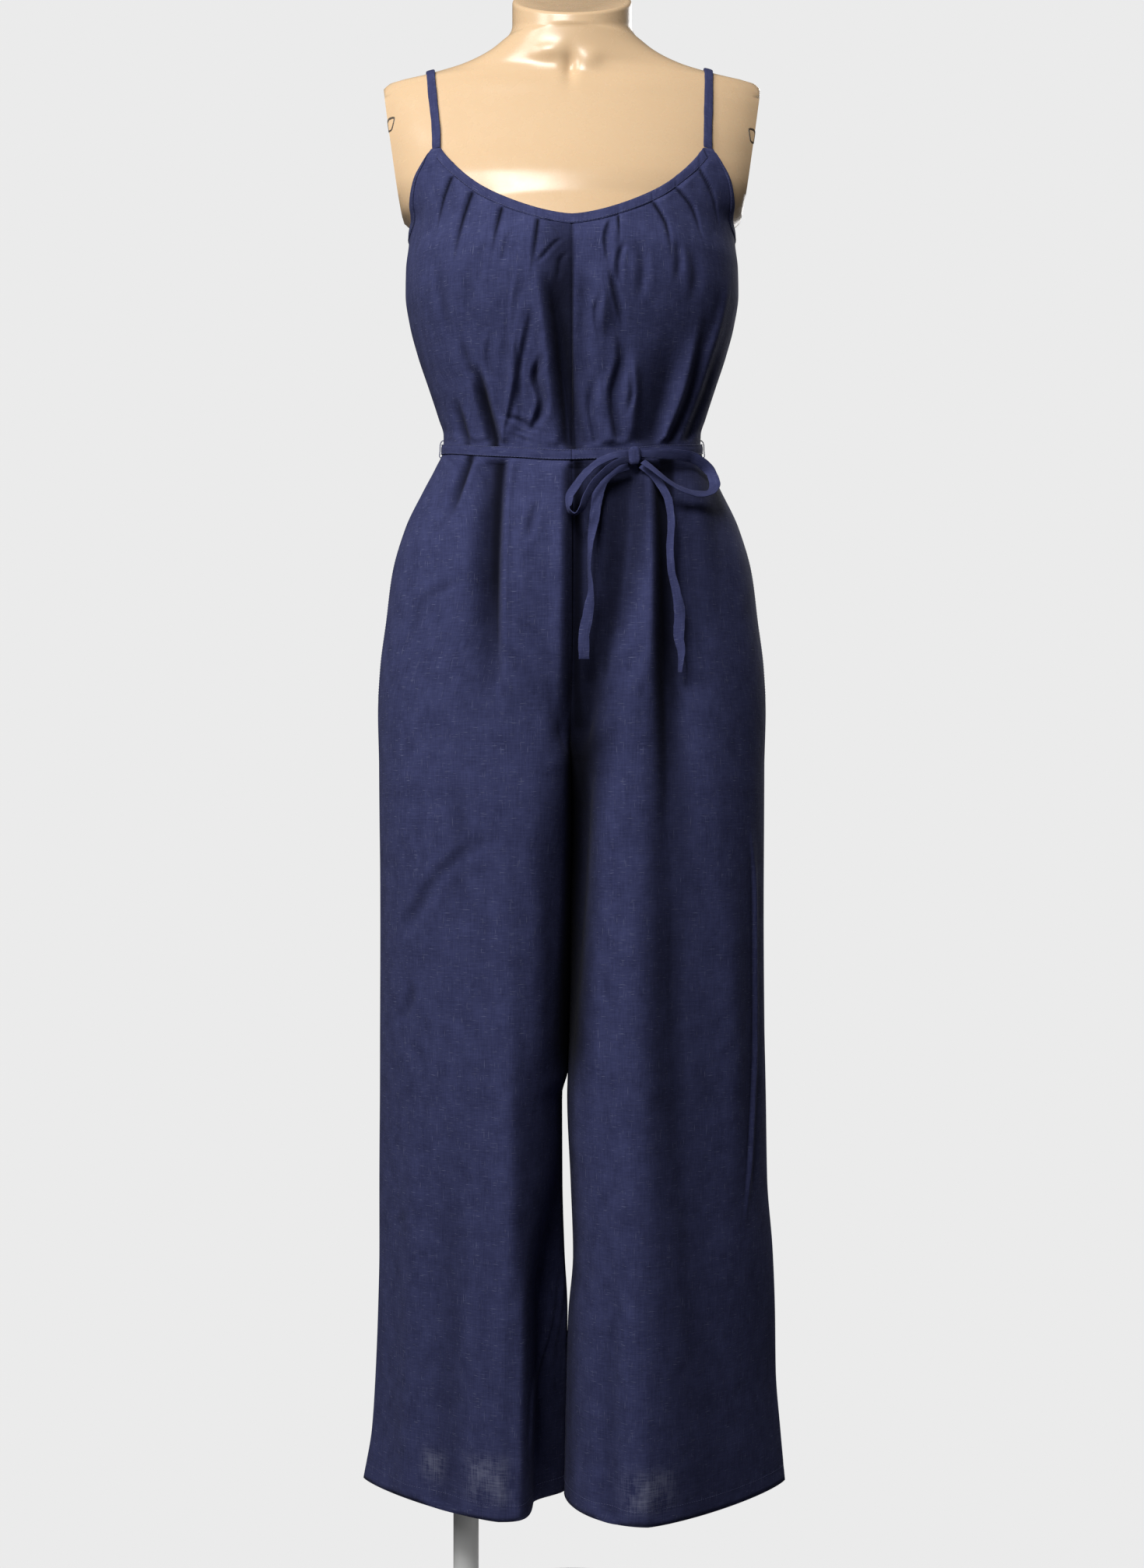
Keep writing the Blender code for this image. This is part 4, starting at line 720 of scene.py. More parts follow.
def stretched_noise(tree, u, v, across, along, detail=2.0):
    """Noise with its own scale along each direction of the cloth."""
    stretched = {"X": calculate(tree, "MULTIPLY", u, across), "Y": calculate(tree, "MULTIPLY", v, along)}
    return noise(tree, 1.0, detail, add_node(tree, "ShaderNodeCombineXYZ", stretched).outputs[0])


def linen_weave():
    """Plain weave: each thread passes over one crossing thread and under the next. Place is the place on
    the flat cloth in metres and Thread the threads' spacing."""
    group = bpy.data.node_groups.new("linen_weave", "ShaderNodeTree")
    group.interface.new_socket("Place", in_out="INPUT", socket_type="NodeSocketVector")
    thread = group.interface.new_socket("Thread", in_out="INPUT", socket_type="NodeSocketFloat")
    thread.default_value = LINEN_THREAD
    for name in ("Height", "Slub", "Tone"):
        group.interface.new_socket(name, in_out="OUTPUT", socket_type="NodeSocketFloat")
    start, end = group.nodes.new("NodeGroupInput"), group.nodes.new("NodeGroupOutput")
    split = add_node(group, "ShaderNodeSeparateXYZ", {"Vector": start.outputs["Place"]})
    u, v = split.outputs["X"], split.outputs["Y"]
    per_metre = calculate(group, "DIVIDE", np.pi, start.outputs["Thread"])
    waves = [calculate(group, "SINE", calculate(group, "MULTIPLY", way, per_metre)) for way in (u, v)]
    over = calculate(group, "MULTIPLY", *waves)
    warp, weft = (
        calculate(group, "MULTIPLY", calculate(group, "ABSOLUTE", wave), calculate(group, shown, 1.0, over))
        for wave, shown in zip(waves, ("ADD", "SUBTRACT"))
    )
    weave = calculate(group, "MULTIPLY", calculate(group, "MAXIMUM", warp, weft), 0.5)
    slub = calculate(group, "MAXIMUM", *(
        between(group, stretched_noise(group, u, v, across, along, 1.0), 0.0, 1.0, low, low + 0.08)
        for across, along, low in ((110.0, 1050.0, 0.66), (1050.0, 75.0, 0.68))
    ))
    weft_tone, warp_tone = (stretched_noise(group, u, v, *scales) for scales in ((70.0, 700.0), (700.0, 50.0)))
    cloud = stretched_noise(group, u, v, 60.0, 45.0, 4.0)
    threads = calculate(group, "MULTIPLY", calculate(group, "ADD", weft_tone, warp_tone), 0.30)
    feed(group, end, {
        "Height": calculate(group, "ADD", weave, calculate(group, "MULTIPLY", slub, 0.7)),
        "Slub": slub,
        "Tone": calculate(group, "ADD", threads, calculate(group, "MULTIPLY", cloud, 0.40)),
    })
    return group


WEAVE = linen_weave()


def navy_linen(tree):
    """Soft matt navy linen: woven threads, slubs, cloudy dye and fine soft crumples. Painted shade darkens
    it deep in folds, and a painted pale backlight lightens it in places near the hems.
    """
    flat = add_node(tree, "ShaderNodeUVMap", uv_map="cloth_metres").outputs["UV"]
    weave = add_node(tree, "ShaderNodeGroup", {"Thread": LINEN_THREAD, "Place": flat}, node_tree=WEAVE)
    height, slub, tone = (weave.outputs[name] for name in ("Height", "Slub", "Tone"))
    marks = (add_node(tree, "ShaderNodeAttribute", attribute_name=name) for name in ("painted_shade", "painted_backlight"))
    painted_shade, painted_backlight = (node.outputs["Fac"] for node in marks)
    dyed = blend(tree, between(tree, tone, 0.0, 1.0, 0.30, 0.70), LINEN_DARK, LINEN_PALE)
    slubbed = blend(tree, calculate(tree, "MULTIPLY", slub, 0.55), dyed, LINEN_SLUB)
    holes = between(tree, tone, 0.0, 1.0, 0.42, 0.62)
    # painted backlight: a pale colour mixed in where the mark says light from behind would shine through
    through = blend(tree, calculate(tree, "MULTIPLY", painted_backlight, holes), slubbed, LINEN_PAINTED_BACKLIGHT)
    soft = bump(tree, noise(tree, 26.0, 4.0, Roughness=0.55), 0.0035, 0.5)
    return {
        # painted shade: the colour is mixed towards near black where the mark says a fold keeps the light out
        "Base Color": blend(tree, painted_shade, through, LINEN_PAINTED_SHADE),
        "Normal": bump(tree, height, 0.00022, 0.6, Normal=soft),
        "Roughness": 0.88,
        "Specular IOR Level": 0.06,
        "Sheen Weight": 0.02,
        "Sheen Roughness": 0.5,
    }


NAVY_LINEN = surface("navy_linen", navy_linen)


def grid_faces(rows, columns):
    i, j = np.meshgrid(np.arange(rows - 1), np.arange(columns - 1), indexing="ij")
    corner = i * columns + j
    return np.stack([corner, corner + 1, corner + columns + 1, corner + columns], -1).reshape(-1, 4)


def tuck_shade(points, smooth, out):
    """Painted shade for each point, from how deep it lies below the cloth on its left and right: from 0 (level
    with it) to 1.
    """
    axis = np.array([out[0], out[1]])
    depth = np.linalg.norm(smooth[..., :2] - axis, axis=-1) - np.linalg.norm(points[..., :2] - axis, axis=-1)
    step = np.linalg.norm(np.diff(points, axis=1), axis=-1).mean()
    reach = max(2, int(TUCK_REACH / step))
    wide = np.pad(depth, ((0, 0), (reach, reach)), mode="edge")
    total = np.cumsum(np.pad(wide, ((0, 0), (1, 0))), axis=1)
    around = (total[:, 2 * reach + 1 :] - total[:, : -2 * reach - 1]) / (2 * reach + 1)
    return TUCK_DARK * ease((depth - around) / TUCK_DEPTH)


def run_length(points, axis):
    """The distance run along a grid's rows or columns, from the middle one."""
    run = np.linalg.norm(np.diff(points, axis=axis), axis=-1).cumsum(axis=axis)
    run = np.insert(run, 0, 0.0, axis=axis)
    return run - np.take(run, [points.shape[axis] // 2], axis=axis)


def mark(made, name, values):
    """A value for each point of a piece, for its material."""
    made.data.attributes.new(name, "FLOAT", "POINT").data.foreach_set("value", values.ravel())


def cloth_panel(node, points, out=(0, 0, 0), wall=CLOTH_WALL, closed=False, smooth=None, dark=0.0):
    """A cloth piece through a grid of points, with its place on the flat cloth in metres. Rows go along
    the cloth and columns across it. out is a point that the piece's back looks at, smooth the same grid
    without its folds, and dark the least painted shade of each point, which darkens its colour."""
    rows, columns = points.shape[:2]
    across, along = run_length(points, 1), run_length(points, 0)
    if smooth is not None:  # the threads of a hanging piece run straight down and across
        straight = np.argmin(np.abs(np.abs(points[..., 0]) - STRAIGHT_THREAD), axis=1)[:, None]
        across -= np.take_along_axis(across - np.abs(points[..., 0]) + STRAIGHT_THREAD, straight, axis=1)
        along = points[..., 2]
    faces = grid_faces(rows, columns)
    if closed:
        last = np.stack([np.arange(rows - 1) * columns + columns - 1, np.arange(rows - 1) * columns], 1)
        faces = np.concatenate([faces, np.concatenate([last, last[:, ::-1] + columns], 1)])
    spots = points.reshape(-1, 3)
    corners = spots[faces]
    normal = np.cross(corners[:, 2] - corners[:, 0], corners[:, 3] - corners[:, 1])
    outward = (corners.mean(axis=1) - np.array(out)) * np.array([1.0, 1.0, 0.0])
    if (normal * outward).sum() < 0:
        faces = faces[:, ::-1]
    made = mesh_object(f"{node}_cloth", spots, faces, NAVY_LINEN)
    layer = made.data.uv_layers.new(name="cloth_metres")
    layer.data.foreach_set("uv", np.stack([across, along], -1).reshape(-1, 2)[faces].ravel())
    if smooth is not None:
        # painted shade for each point: from the depth of its fold, or the painted shade that is given
        mark(made, "painted_shade", np.maximum(tuck_shade(points, smooth, out), dark))
    if wall:
        solid = made.modifiers.new("wall", "SOLIDIFY")
        solid.thickness, solid.offset = wall, -1
    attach(made, "root")
    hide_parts(node)
    return made


def seam_dip(distance):
    """How far the cloth turns in towards a seam at this distance, in metres."""
    return SEAM_DIP * np.exp(-((distance / SEAM_DIP_REACH) ** 2))


def bodice_front(side, angle, level, inset=0.0):
    """A point of a front bodice piece with its neckline pleats, and the painted shade beside them."""
    point = torso(side, angle, level, BODICE_CREASES, inset)
    below = front_top(angle) - level
    height, shade = pleats(point[..., 0], point[..., 2], below)
    height = height - seam_dip(0.11 * angle) - seam_dip(0.15 * (np.pi / 2 - angle))
    out = np.stack([side * np.sin(angle), -np.cos(angle), np.zeros_like(angle)], axis=-1)
    if side == RIGHT:  # the seam's turning lies under the left piece
        under = ease((0.014 - angle) / 0.006)
        height = height - LAP_UNDER * under
        point[..., 0] += LAP_ASIDE * under
    point = point + out * height[..., None]
    point[..., 0] += side * SEAM_GAP / 2
    return point, shade


def make_bodice_fronts():
    for side, word in SIDES:
        angles = np.concatenate([
            np.linspace(0.0, SEAT_IN, 150, endpoint=False),
            np.linspace(SEAT_IN, SEAT_OUT, 8, endpoint=False),
            np.linspace(SEAT_OUT, np.pi / 2 - 0.001, 45),
        ])
        top = front_top(angles)
        rise = np.linspace(0, 1, 150)[:, None]
        level = WAIST + SEAM_GAP + (top - WAIST - SEAM_GAP)[None, :] * rise
        angles = np.broadcast_to(angles, level.shape)
        smooth = torso(side, angles, level, [])
        points, shade = bodice_front(side, angles, level)
        x, z = smooth[..., 0], smooth[..., 2]
        # painted shade beside the pleats, in the creases' troughs and beside the centre seam
        shade = np.max([shade, crease_shade(BODICE_CREASES, x, z), place_shade(CENTRE_SHADE, x, z)], axis=0)
        made = cloth_panel(f"bodice_front_{word}", points, smooth=smooth, dark=shade)


make_bodice_fronts()

# ---------------------------------------------------------------- bodice back
# One plain piece of the same linen, straight across below the shoulder blades, gathered softly by the tie.
NECK_BACK, SEAT_BACK = 1.398, 1.412
SEAT_BACK_X, SEAT_BACK_Y_IN, SEAT_BACK_Y_OUT = 0.100, 0.092, 0.088
BACK_SEAT_IN = np.pi - np.arctan2(SEAT_BACK_X - SEAT_WIDTH / 2, SEAT_BACK_Y_IN)
BACK_SEAT_OUT = np.pi - np.arctan2(SEAT_BACK_X + SEAT_WIDTH / 2, SEAT_BACK_Y_OUT)
BODICE_BACK_CREASES = in_metres(Crease, 3, [
    ([(-94, 1262), (-82, 1215), (-70, 1172)], 8, -4.2, 0, 0.5, 0.05),
    ([(-42, 1284), (-34, 1176)], 8.5, 3, 0, 0.5, 0.1),
    ([(12, 1272), (8, 1215), (3, 1176)], 9, -3.6, 0, 0.5, 0.05),
    ([(50, 1292), (46, 1230), (38, 1176)], 8, 3, 0, 0.5, 0.1),
    ([(98, 1256), (86, 1215), (74, 1172)], 8, -4.2, 0, 0.5, 0.05),
    ([(-15, 1225), (-19, 1178)], 4.5, -1.8, 0, 0.5, 0.1),
    ([(64, 1235), (58, 1176)], 5, -2, 0, 0.5, 0.1),
    ([(-120, 1300), (-108, 1230), (-96, 1180)], 7, 2.6, 0, 0.5, 0.2),
    ([(126, 1310), (112, 1230), (100, 1180)], 7, 2.4, 0, 0.5, 0.2),
])


def back_top(angle):
    """Level of the back bodice's upper edge: armhole, strap seat, back neckline."""
    up = np.clip((angle - np.pi / 2) / (BACK_SEAT_OUT - np.pi / 2), 0, 1)
    armhole = UNDERARM + (SEAT_BACK - UNDERARM) * up**2.5
    across = np.clip((np.pi - angle) / (np.pi - BACK_SEAT_IN), 0, 1)
    middle = NECK_BACK + (SEAT_BACK - NECK_BACK) * across**2
    return np.where(angle > BACK_SEAT_IN, middle, np.where(angle > BACK_SEAT_OUT, SEAT_BACK, armhole))


def over_middle(half, first):
    """Angles that run to the middle and back on the other side, and the side of each."""
    angles = np.concatenate([half, half[-2::-1]])
    return angles, np.where(np.arange(len(angles)) < len(half), first, -first)


def make_bodice_back():
    half = np.concatenate([
        np.linspace(np.pi / 2 + 0.001, BACK_SEAT_OUT, 24, endpoint=False),
        np.linspace(BACK_SEAT_OUT, BACK_SEAT_IN, 5, endpoint=False),
        np.linspace(BACK_SEAT_IN, np.pi, 50),
    ])
    angles, sides = over_middle(half, LEFT)
    rise = np.linspace(0, 1, 90)[:, None]
    level = WAIST + SEAM_GAP + (back_top(angles) - WAIST - SEAM_GAP)[None, :] * rise
    angles = np.broadcast_to(angles, level.shape)
    points, smooth = (torso(sides[None, :], angles, level, folds) for folds in (BODICE_BACK_CREASES, []))
    made = cloth_panel("bodice_back", points, smooth=smooth)


make_bodice_back()

# ---------------------------------------------------------------- trousers
# Each leg has a front and a back of the same linen, seamed at the centre, the inseam and the side, cut
# straight and wide, with a narrow hem turned up inside and stitched.
HEM, HEM_TURN = 0.150, 0.015
HEM_DIP, HEM_DIP_REACH = 0.0004, 0.0014  # the line that the hem's stitching pulls in
PANEL = 0.19  # width of a panel as it hangs
CROTCH = 0.860
FORM_FULL = 0.935  # level from which the cloth keeps clear of the form's full width
LEG_BEND = 0.003  # how softly the cloth turns where it lies on the form
CROTCH_START, CROTCH_CURVE = 1.000, 2.6  # where and how slowly the centre seams begin to turn under
MIDDLE_SHARE = 0.36  # share of a panel's width over which it does as the centre seam does
LEG_START, LEG_FULL = 1.020, 0.640  # between these the body's shape turns into the leg's
LEG_CENTRE = 0.095  # a leg's folds stand out from this distance from the centre plane
SEAM_SHARE = 0.0012  # share of a panel's width that the seam at each edge takes up
INNER_SHARE = 0.38  # share of a leg panel's width that lies between the inseam and the ridge
# How far the front of a leg stands off from its inseam, and over which levels: the left one above the
# knee, the right one below. It starts OPENING_Y in front of the side seams and is full OPENING_DEPTH on.
OPENING_Y, OPENING_DEPTH = -0.022, 0.035
OPENING = {LEFT: (0.020, 0.98, 0.88, 0.48, 0.86), RIGHT: (0.030, 0.48, 0.34, 0.0, 0.1)}
# A leg's section is two rounded corners, one from the inseam to the ridge and one on to the side seam.
Leg = namedtuple("Leg", "z inner outer ridge front back inner_y outer_y power_in power_out")
LEG = {
    LEFT: in_metres(Leg, 2, [
        (860, -2.6, 189, 70, 117, 127, -62, 0, 2.5, 2.1), (800, -2.4, 189, 64, 115, 122, -34, 0, 2.9, 2),
        (750, -2.2, 189, 62, 113, 118, -24, 0, 3, 1.9), (600, -3.2, 190, 62, 111, 108, -22, 0, 2.9, 1.7),
        (560, -4.3, 191, 62, 112, 106, -18, 1, 2.7, 1.65), (535, -5, 191.5, 62, 112, 104, -15, 1, 2.5, 1.6),
        (450, -1.5, 193, 64, 114, 100, -18, 2, 2.3, 1.55), (380, 0.8, 198.5, 66, 116, 96, -21, 3, 2.2, 1.5),
        (320, -4, 201, 68, 118, 94, -23, 4, 2.1, 1.4), (260, -5.8, 202, 70, 120, 92, -25, 6, 2, 1.35),
        (200, -7.2, 206.8, 72, 121, 90, -27, 8, 1.9, 1.3), (150, -8, 211.5, 70, 122, 88, -28, 9, 1.9, 1.25),
    ]),
    RIGHT: in_metres(Leg, 2, [
        (860, 0.4, 190.5, 72, 117, 127, -50, 0, 3.4, 2.1), (800, 0.2, 189.5, 66, 115, 122, -10, 0, 3.2, 2),
        (750, -0.2, 189, 62, 113, 118, 20, 0, 3, 1.9), (600, 2.4, 189.5, 60, 110, 108, 10, 0, 2.4, 1.7),
        (560, 3.4, 189.8, 60, 110, 106, 0, 2, 2, 1.65), (535, 9.5, 190, 60, 110, 104, -6, 3, 2, 1.6),
        (450, 9.2, 190.8, 60, 110, 100, -5, 5, 2, 1.5), (380, 7.2, 191, 60, 109, 96, -4, 7, 2.1, 1.45),
        (320, 4.2, 192.5, 62, 109, 94, -3, 9, 2.2, 1.4), (260, 4.8, 195, 64, 108, 92, -2, 11, 2.3, 1.35),
        (200, 6, 199, 66, 108, 90, 0, 13, 2.4, 1.3), (150, 6.6, 207.7, 68, 108, 88, 0, 15, 2.5, 1.25),
    ]),
}
TROUSER_CREASES = in_metres(Crease, 3, [
    ([(-66.5, 1152), (-70.5, 1100), (-72.5, 1034), (-73, 956), (-79, 870)], 10.5, -21.5, -0.5, 0.03, 0.62),
    ([(-78, 1110), (-82, 1034), (-83, 956), (-88, 860)], 13, -2.6, 0, 0.3, 0.5),
    ([(-95, 1158), (-106, 1122), (-118, 1084)], 5, -13.5, -0.2, 0.03, 0.6),
    ([(-107, 1114), (-120, 1092), (-133, 1070)], 3.4, -2.2, 0, 0.2, 0.4),
    ([(5, 1152), (4.5, 1008), (3.5, 930), (3, 866)], 9.5, -20, 0.2, 0.03, 0.1),
    ([(20, 1010), (18, 950), (14, 880)], 12, -9, 0.2, 0.5, 0.3),
    ([(-30, 1112), (-36, 1088), (-42, 1062)], 4, -2.8, 0, 0.4, 0.4),
    ([(-40, 1130), (-52, 1000), (-56, 860)], 15, 4, 0, 0.2, 0.6),
    ([(-111, 1034), (-143, 1010), (-151, 987), (-161, 964)], 6, -3, 0.3, 0.2, 0.4),
    ([(56, 1150), (51, 1100), (43, 1020), (30, 965), (20, 915), (13, 870)], 26, -11.8, -0.5, 0.06, 0.3),
    ([(85, 1152), (86, 1086), (87.5, 1008), (90, 903), (91, 760)], 14.5, -18, 0.5, 0.03, 0.55),
    ([(74, 1120), (73, 1008), (62, 903), (55, 780)], 9, 4.6, 0, 0.2, 0.4),
    ([(99, 1098), (104, 1028)], 6, -4, 0, 0.3, 0.5),
    ([(112, 1140), (126, 1040), (128, 940)], 12, 4, 0, 0.1, 0.6),
    ([(-25, 824), (-34, 820), (-45, 814)], 3, -2, 0, 0.3, 0.4),
    ([(-55, 806), (-106, 772), (-122, 759), (-146, 726), (-170, 686)], 6, -3.6, 0.3, 0.3, 0.3),
    ([(-152, 651), (-161, 622), (-175, 605)], 4.5, -3, 0.3, 0.3, 0.4),
    ([(-154, 427), (-163, 420), (-175, 409)], 3, -1.8, 0, 0.3, 0.4),
    ([(169, 815), (175, 740), (176.5, 600), (170, 480), (164, 405)], 2.2, 3.4, 0.5, 0.2, 0.2),
    ([(-15, 380), (-21, 326), (-37, 257), (-39, 190)], 2, 2.6, 0.3, 0.2, 0.2),
    ([(-9, 368), (-12, 331), (-21, 282), (-21.7, 236)], 1.8, 2.2, 0.3, 0.2, 0.2),
    ([(-112, 870), (-105, 780), (-112, 690)], 12, -3.4, 0, 0.4, 0.4),
    ([(-60, 840), (-60, 640), (-60, 430), (-60, 200)], 12, 4, 0, 0.2, 0.3),
    ([(-16, 860), (-18, 640), (-22, 460)], 9, -3, 0, 0.2, 0.5),
    ([(52, 840), (54, 640), (58, 400), (62, 150)], 14, 4, 0, 0.3, 0.01),
    ([(92, 880), (94, 760), (94, 660), (98, 550), (112, 400), (122, 170)], 19, -9.5, 0.3, 0.3, 0.7),
    ([(-44, 420), (-47, 300), (-50, 150)], 6, 3, 0, 0.4, 0.01),
    ([(-108, 560), (-114, 400), (-120, 150)], 16, -3.6, 0, 0.5, 0.01),
    ([(-150, 560), (-152, 380), (-160, 150)], 12, 3.4, 0, 0.4, 0.01),
    ([(40, 430), (36, 300), (34, 150)], 9, -3.4, 0, 0.5, 0.01),
    ([(150, 800), (154, 600), (158, 400)], 12, 3, 0, 0.4, 0.4),
])
TROUSER_BACK_CREASES = in_metres(Crease, 3, [
    ([(-72, 1152), (-86, 1030), (-92, 900)], 12, -5.2, 0, 0.06, 0.7),
    ([(-30, 1158), (-38, 1040), (-40, 920)], 13, 3.6, 0, 0.1, 0.7),
    ([(36, 1158), (42, 1040), (44, 900)], 13, 3.6, 0, 0.1, 0.7),
    ([(78, 1152), (90, 1030), (96, 880)], 12, -5.2, 0, 0.06, 0.7),
    ([(-50, 840), (-60, 600), (-66, 300), (-68, 160)], 15, -4.6, 0, 0.3, 0.03),
    ([(-112, 800), (-118, 560), (-126, 160)], 16, 4, 0, 0.4, 0.05),
    ([(56, 840), (62, 600), (70, 300), (70, 160)], 15, -4.8, 0, 0.3, 0.03),
    ([(110, 820), (120, 560), (130, 160)], 16, 4, 0, 0.4, 0.05),
    ([(20, 860), (60, 838), (110, 812)], 6, -2.4, 0.4, 0.3, 0.4),
    ([(-24, 856), (-66, 830), (-118, 800)], 6, -2.4, 0.4, 0.3, 0.4),
    ([(-155, 640), (-168, 600)], 4.5, -2, 0, 0.3, 0.4),
    ([(160, 560), (172, 500)], 5, -2.2, 0, 0.3, 0.4),
])


# Painted shade between the legs, under the bow and beside the fold at the left hip, where the light is kept
# out.
LEG_SHADE = [
    in_metres(Shade, 1, [
        (1152, 8, 14, 64, 80, 0.6), (1107, 6, 12, 66, 80, 0.66), (1063, 0, 10, 58, 82, 0.62),
        (1020, -6, 8, 48, 70, 0.6), (962, -8, 4, 25, 55, 0.8), (930, -10, 0, 16, 52, 0.86),
        (895, -9, 0, 13, 49, 0.9), (874, -9, 0, 12, 48, 0.97), (856, -10, 0, 10, 45, 0.96),
        (787, -12, 0, 4, 36, 0.96), (700, -18, -2, 1, 33, 0.96), (600, -30, -5, 1, 28, 0.92),
        (540, -30, -5, 1, 24, 0),
    ]),
    in_metres(Shade, 1, [
        (1152, 80, 85, 94, 108, 0.95), (1020, 74, 86, 90, 104, 0.86), (918, 66, 85, 88, 116, 0.8),
        (787, 55, 85, 95, 135, 0.5), (700, 55, 85, 100, 145, 0.42), (530, 62, 80, 110, 155, 0.4),
        (360, 70, 90, 115, 155, 0.36), (150, 80, 105, 125, 160, 0.25),
    ]),
    in_metres(Shade, 1, [
        (600, -64, -46, -14, -6, 0), (500, -60, -44, -12, -5, 0.3), (340, -56, -36, -11, -4, 0.42),
        (240, -52, -28, -11, -4, 0.5), (150, -46, -24, -11, -4, 0.5),
    ]),
    in_metres(Shade, 1, [
        (1152, 88, 100, 140, 165, 0.6), (1020, 90, 100, 118, 145, 0.5), (918, 90, 100, 110, 135, 0.25),
        (870, 90, 100, 110, 130, 0),
    ]),
]
# Places near the hem where a pale backlight is painted, as if light came through the front's single
# layer: x, z and half sizes. The single number below is how strong the painted backlight is in each middle.
PAINTED_BACKLIGHT_MOST = 0.55
PAINTED_BACKLIGHT_PLACES = [(-0.132, 0.190, 0.012, 0.015), (-0.079, 0.188, 0.021, 0.022), (0.072, 0.182, 0.024, 0.019)]


def leg_section(side, share, level, front, inset):
    """A leg's section without folds, as distances from the centre plane and from the side seams."""
    inner, outer, ridge, ahead, behind, inner_y, outer_y, power_in, power_out = table_at(LEG[side], level)
    inner, outer = inner + inset, outer - inset
    deep = inset - ahead if front else behind - inset
    turn_in = np.clip(share / INNER_SHARE, 0, 1) * np.pi / 2
    turn_out = np.clip((share - INNER_SHARE) / (1 - INNER_SHARE), 0, 1) * np.pi / 2
    x_in = ridge + (inner - ridge) * np.abs(np.cos(turn_in)) ** (2 / power_in)
    y_in = inner_y + (deep - inner_y) * np.abs(np.sin(turn_in)) ** (2 / power_in)
    x_out = ridge + (outer - ridge) * np.abs(np.sin(turn_out)) ** (2 / power_out)
    y_out = outer_y + (deep - outer_y) * np.abs(np.cos(turn_out)) ** (2 / power_out)
    if front:
        most, top, full, bottom, low = OPENING[side]
        opening = most * ease((top - level) / (top - full)) * ease((level - bottom) / (low - bottom))
        forward = ease((np.minimum(inner_y, OPENING_Y) - y_in) / OPENING_DEPTH)
        x_in = x_in + opening * forward * ((ridge - x_in) / (ridge - inner)) ** 2
    inside = share < INNER_SHARE
    return np.where(inside, x_in, x_out), np.where(inside, y_in, y_out)


def leg(side, share, level, front, creases, inset=0.0):
    """A point of a leg: share 0 at the inseam, 1 at the side seam."""
    x, y = leg_section(side, share, level, front, 0.0)
    height = crease_height(creases, side * x, level)
    height = height * ease(share / 0.08) * ease((1 - share) / 0.08)
    away_x, away_y = x - LEG_CENTRE, y
    away = np.hypot(away_x, away_y)
    x, y = leg_section(side, share, level, front, inset)
    return np.stack([side * (x + height * away_x / away), y + height * away_y / away, level], axis=-1)


def trouser(side, share, level, front, creases, inset=0.0):
    """A point of a trouser piece, from the centre or inseam (share 0) to the side seam (share 1)."""
    angle = share * np.pi / 2 if front else np.pi - share * np.pi / 2
    turn = np.clip((CROTCH_START - level) / (CROTCH_START - CROTCH), 0, 1)
    legness = turn**CROTCH_CURVE
    at_side = ease((LEG_START - level) / (LEG_START - LEG_FULL))
    legness = legness + (at_side - legness) * ease(share / MIDDLE_SHARE)
    above = torso(side, angle, np.maximum(level, CROTCH), creases, inset)
    below = leg(side, share, level, front, creases, inset)
    point = above + (below - above) * legness[..., None]
    dip = seam_dip(PANEL * (1 - share)) + seam_dip(PANEL * share) * (level > CROTCH_START)
    dip += HEM_DIP * np.exp(-(((level - HEM - HEM_TURN) / HEM_DIP_REACH) ** 2))
    point[..., :2] *= (1 - dip / np.linalg.norm(point[..., :2], axis=-1))[..., None]
    point[..., 2] = np.where(level < CROTCH, level, point[..., 2])
    away = np.hypot(point[..., 0], point[..., 1])
    above = np.maximum(point[..., 2], FORM_FULL)
    least = form_radius(np.arctan2(np.abs(point[..., 0]), -point[..., 1]), above) + BODY_CLEAR
    above_base = ease((point[..., 2] - CROTCH) / (FORM_FULL - CROTCH))
    point[..., :2] *= (1 + (clear_of(least, away, LEG_BEND) / away - 1) * above_base)[..., None]
    if side == RIGHT and front:  # the seam's turning lies under the left piece
        under = ease((0.012 - share) / 0.006) * ease((level - CROTCH) / 0.02)
        point[..., 0] += LAP_ASIDE * under
        point[..., 1] += LAP_UNDER * under
    point[..., 0] += side * SEAM_GAP / 2
    return point


def make_trousers():
    low, high = np.linspace(HEM, CROTCH, 150, endpoint=False), np.linspace(CROTCH, WAIST - SEAM_GAP, 90)
    fine, coarse = np.concatenate([low, high]), np.concatenate([low[::2], high[::2], high[-1:]])
    for side, word in SIDES:
        for front in (True, False):
            place = "front" if front else "back"
            share = np.linspace(SEAM_SHARE, 1 - SEAM_SHARE, 170 if front else 70)[None, :]
            share, level = np.broadcast_arrays(share, (fine if front else coarse)[:, None])
            creases = TROUSER_CREASES if front else TROUSER_BACK_CREASES
            points, smooth = (trouser(side, share, level, front, folds) for folds in (creases, []))
            x, z = points[..., 0], points[..., 2]
            # painted shade: the creases' troughs and the places of the leg shade table are darkened in colour
            painted_crease_shade = crease_shade(creases, smooth[..., 0], smooth[..., 2])
            dark = np.maximum(painted_crease_shade, place_shade(LEG_SHADE if front else [], x, z))
            middle = (side * LEG_CENTRE, 0, 0)
            made = cloth_panel(f"trouser_{place}_{word}", points, middle, smooth=smooth, dark=dark)
            if front:
                # painted backlight: a pale glow near the hem, where light from behind would show through the
                # single layer
                backlight_falloff = [
                    np.abs((x - at) / wide) ** 4 + np.abs((z - up) / high) ** 4
                    for at, up, wide, high in PAINTED_BACKLIGHT_PLACES
                ]
                mark(made, "painted_backlight", PAINTED_BACKLIGHT_MOST * np.exp(-np.min(backlight_falloff, axis=0)))


make_trousers()

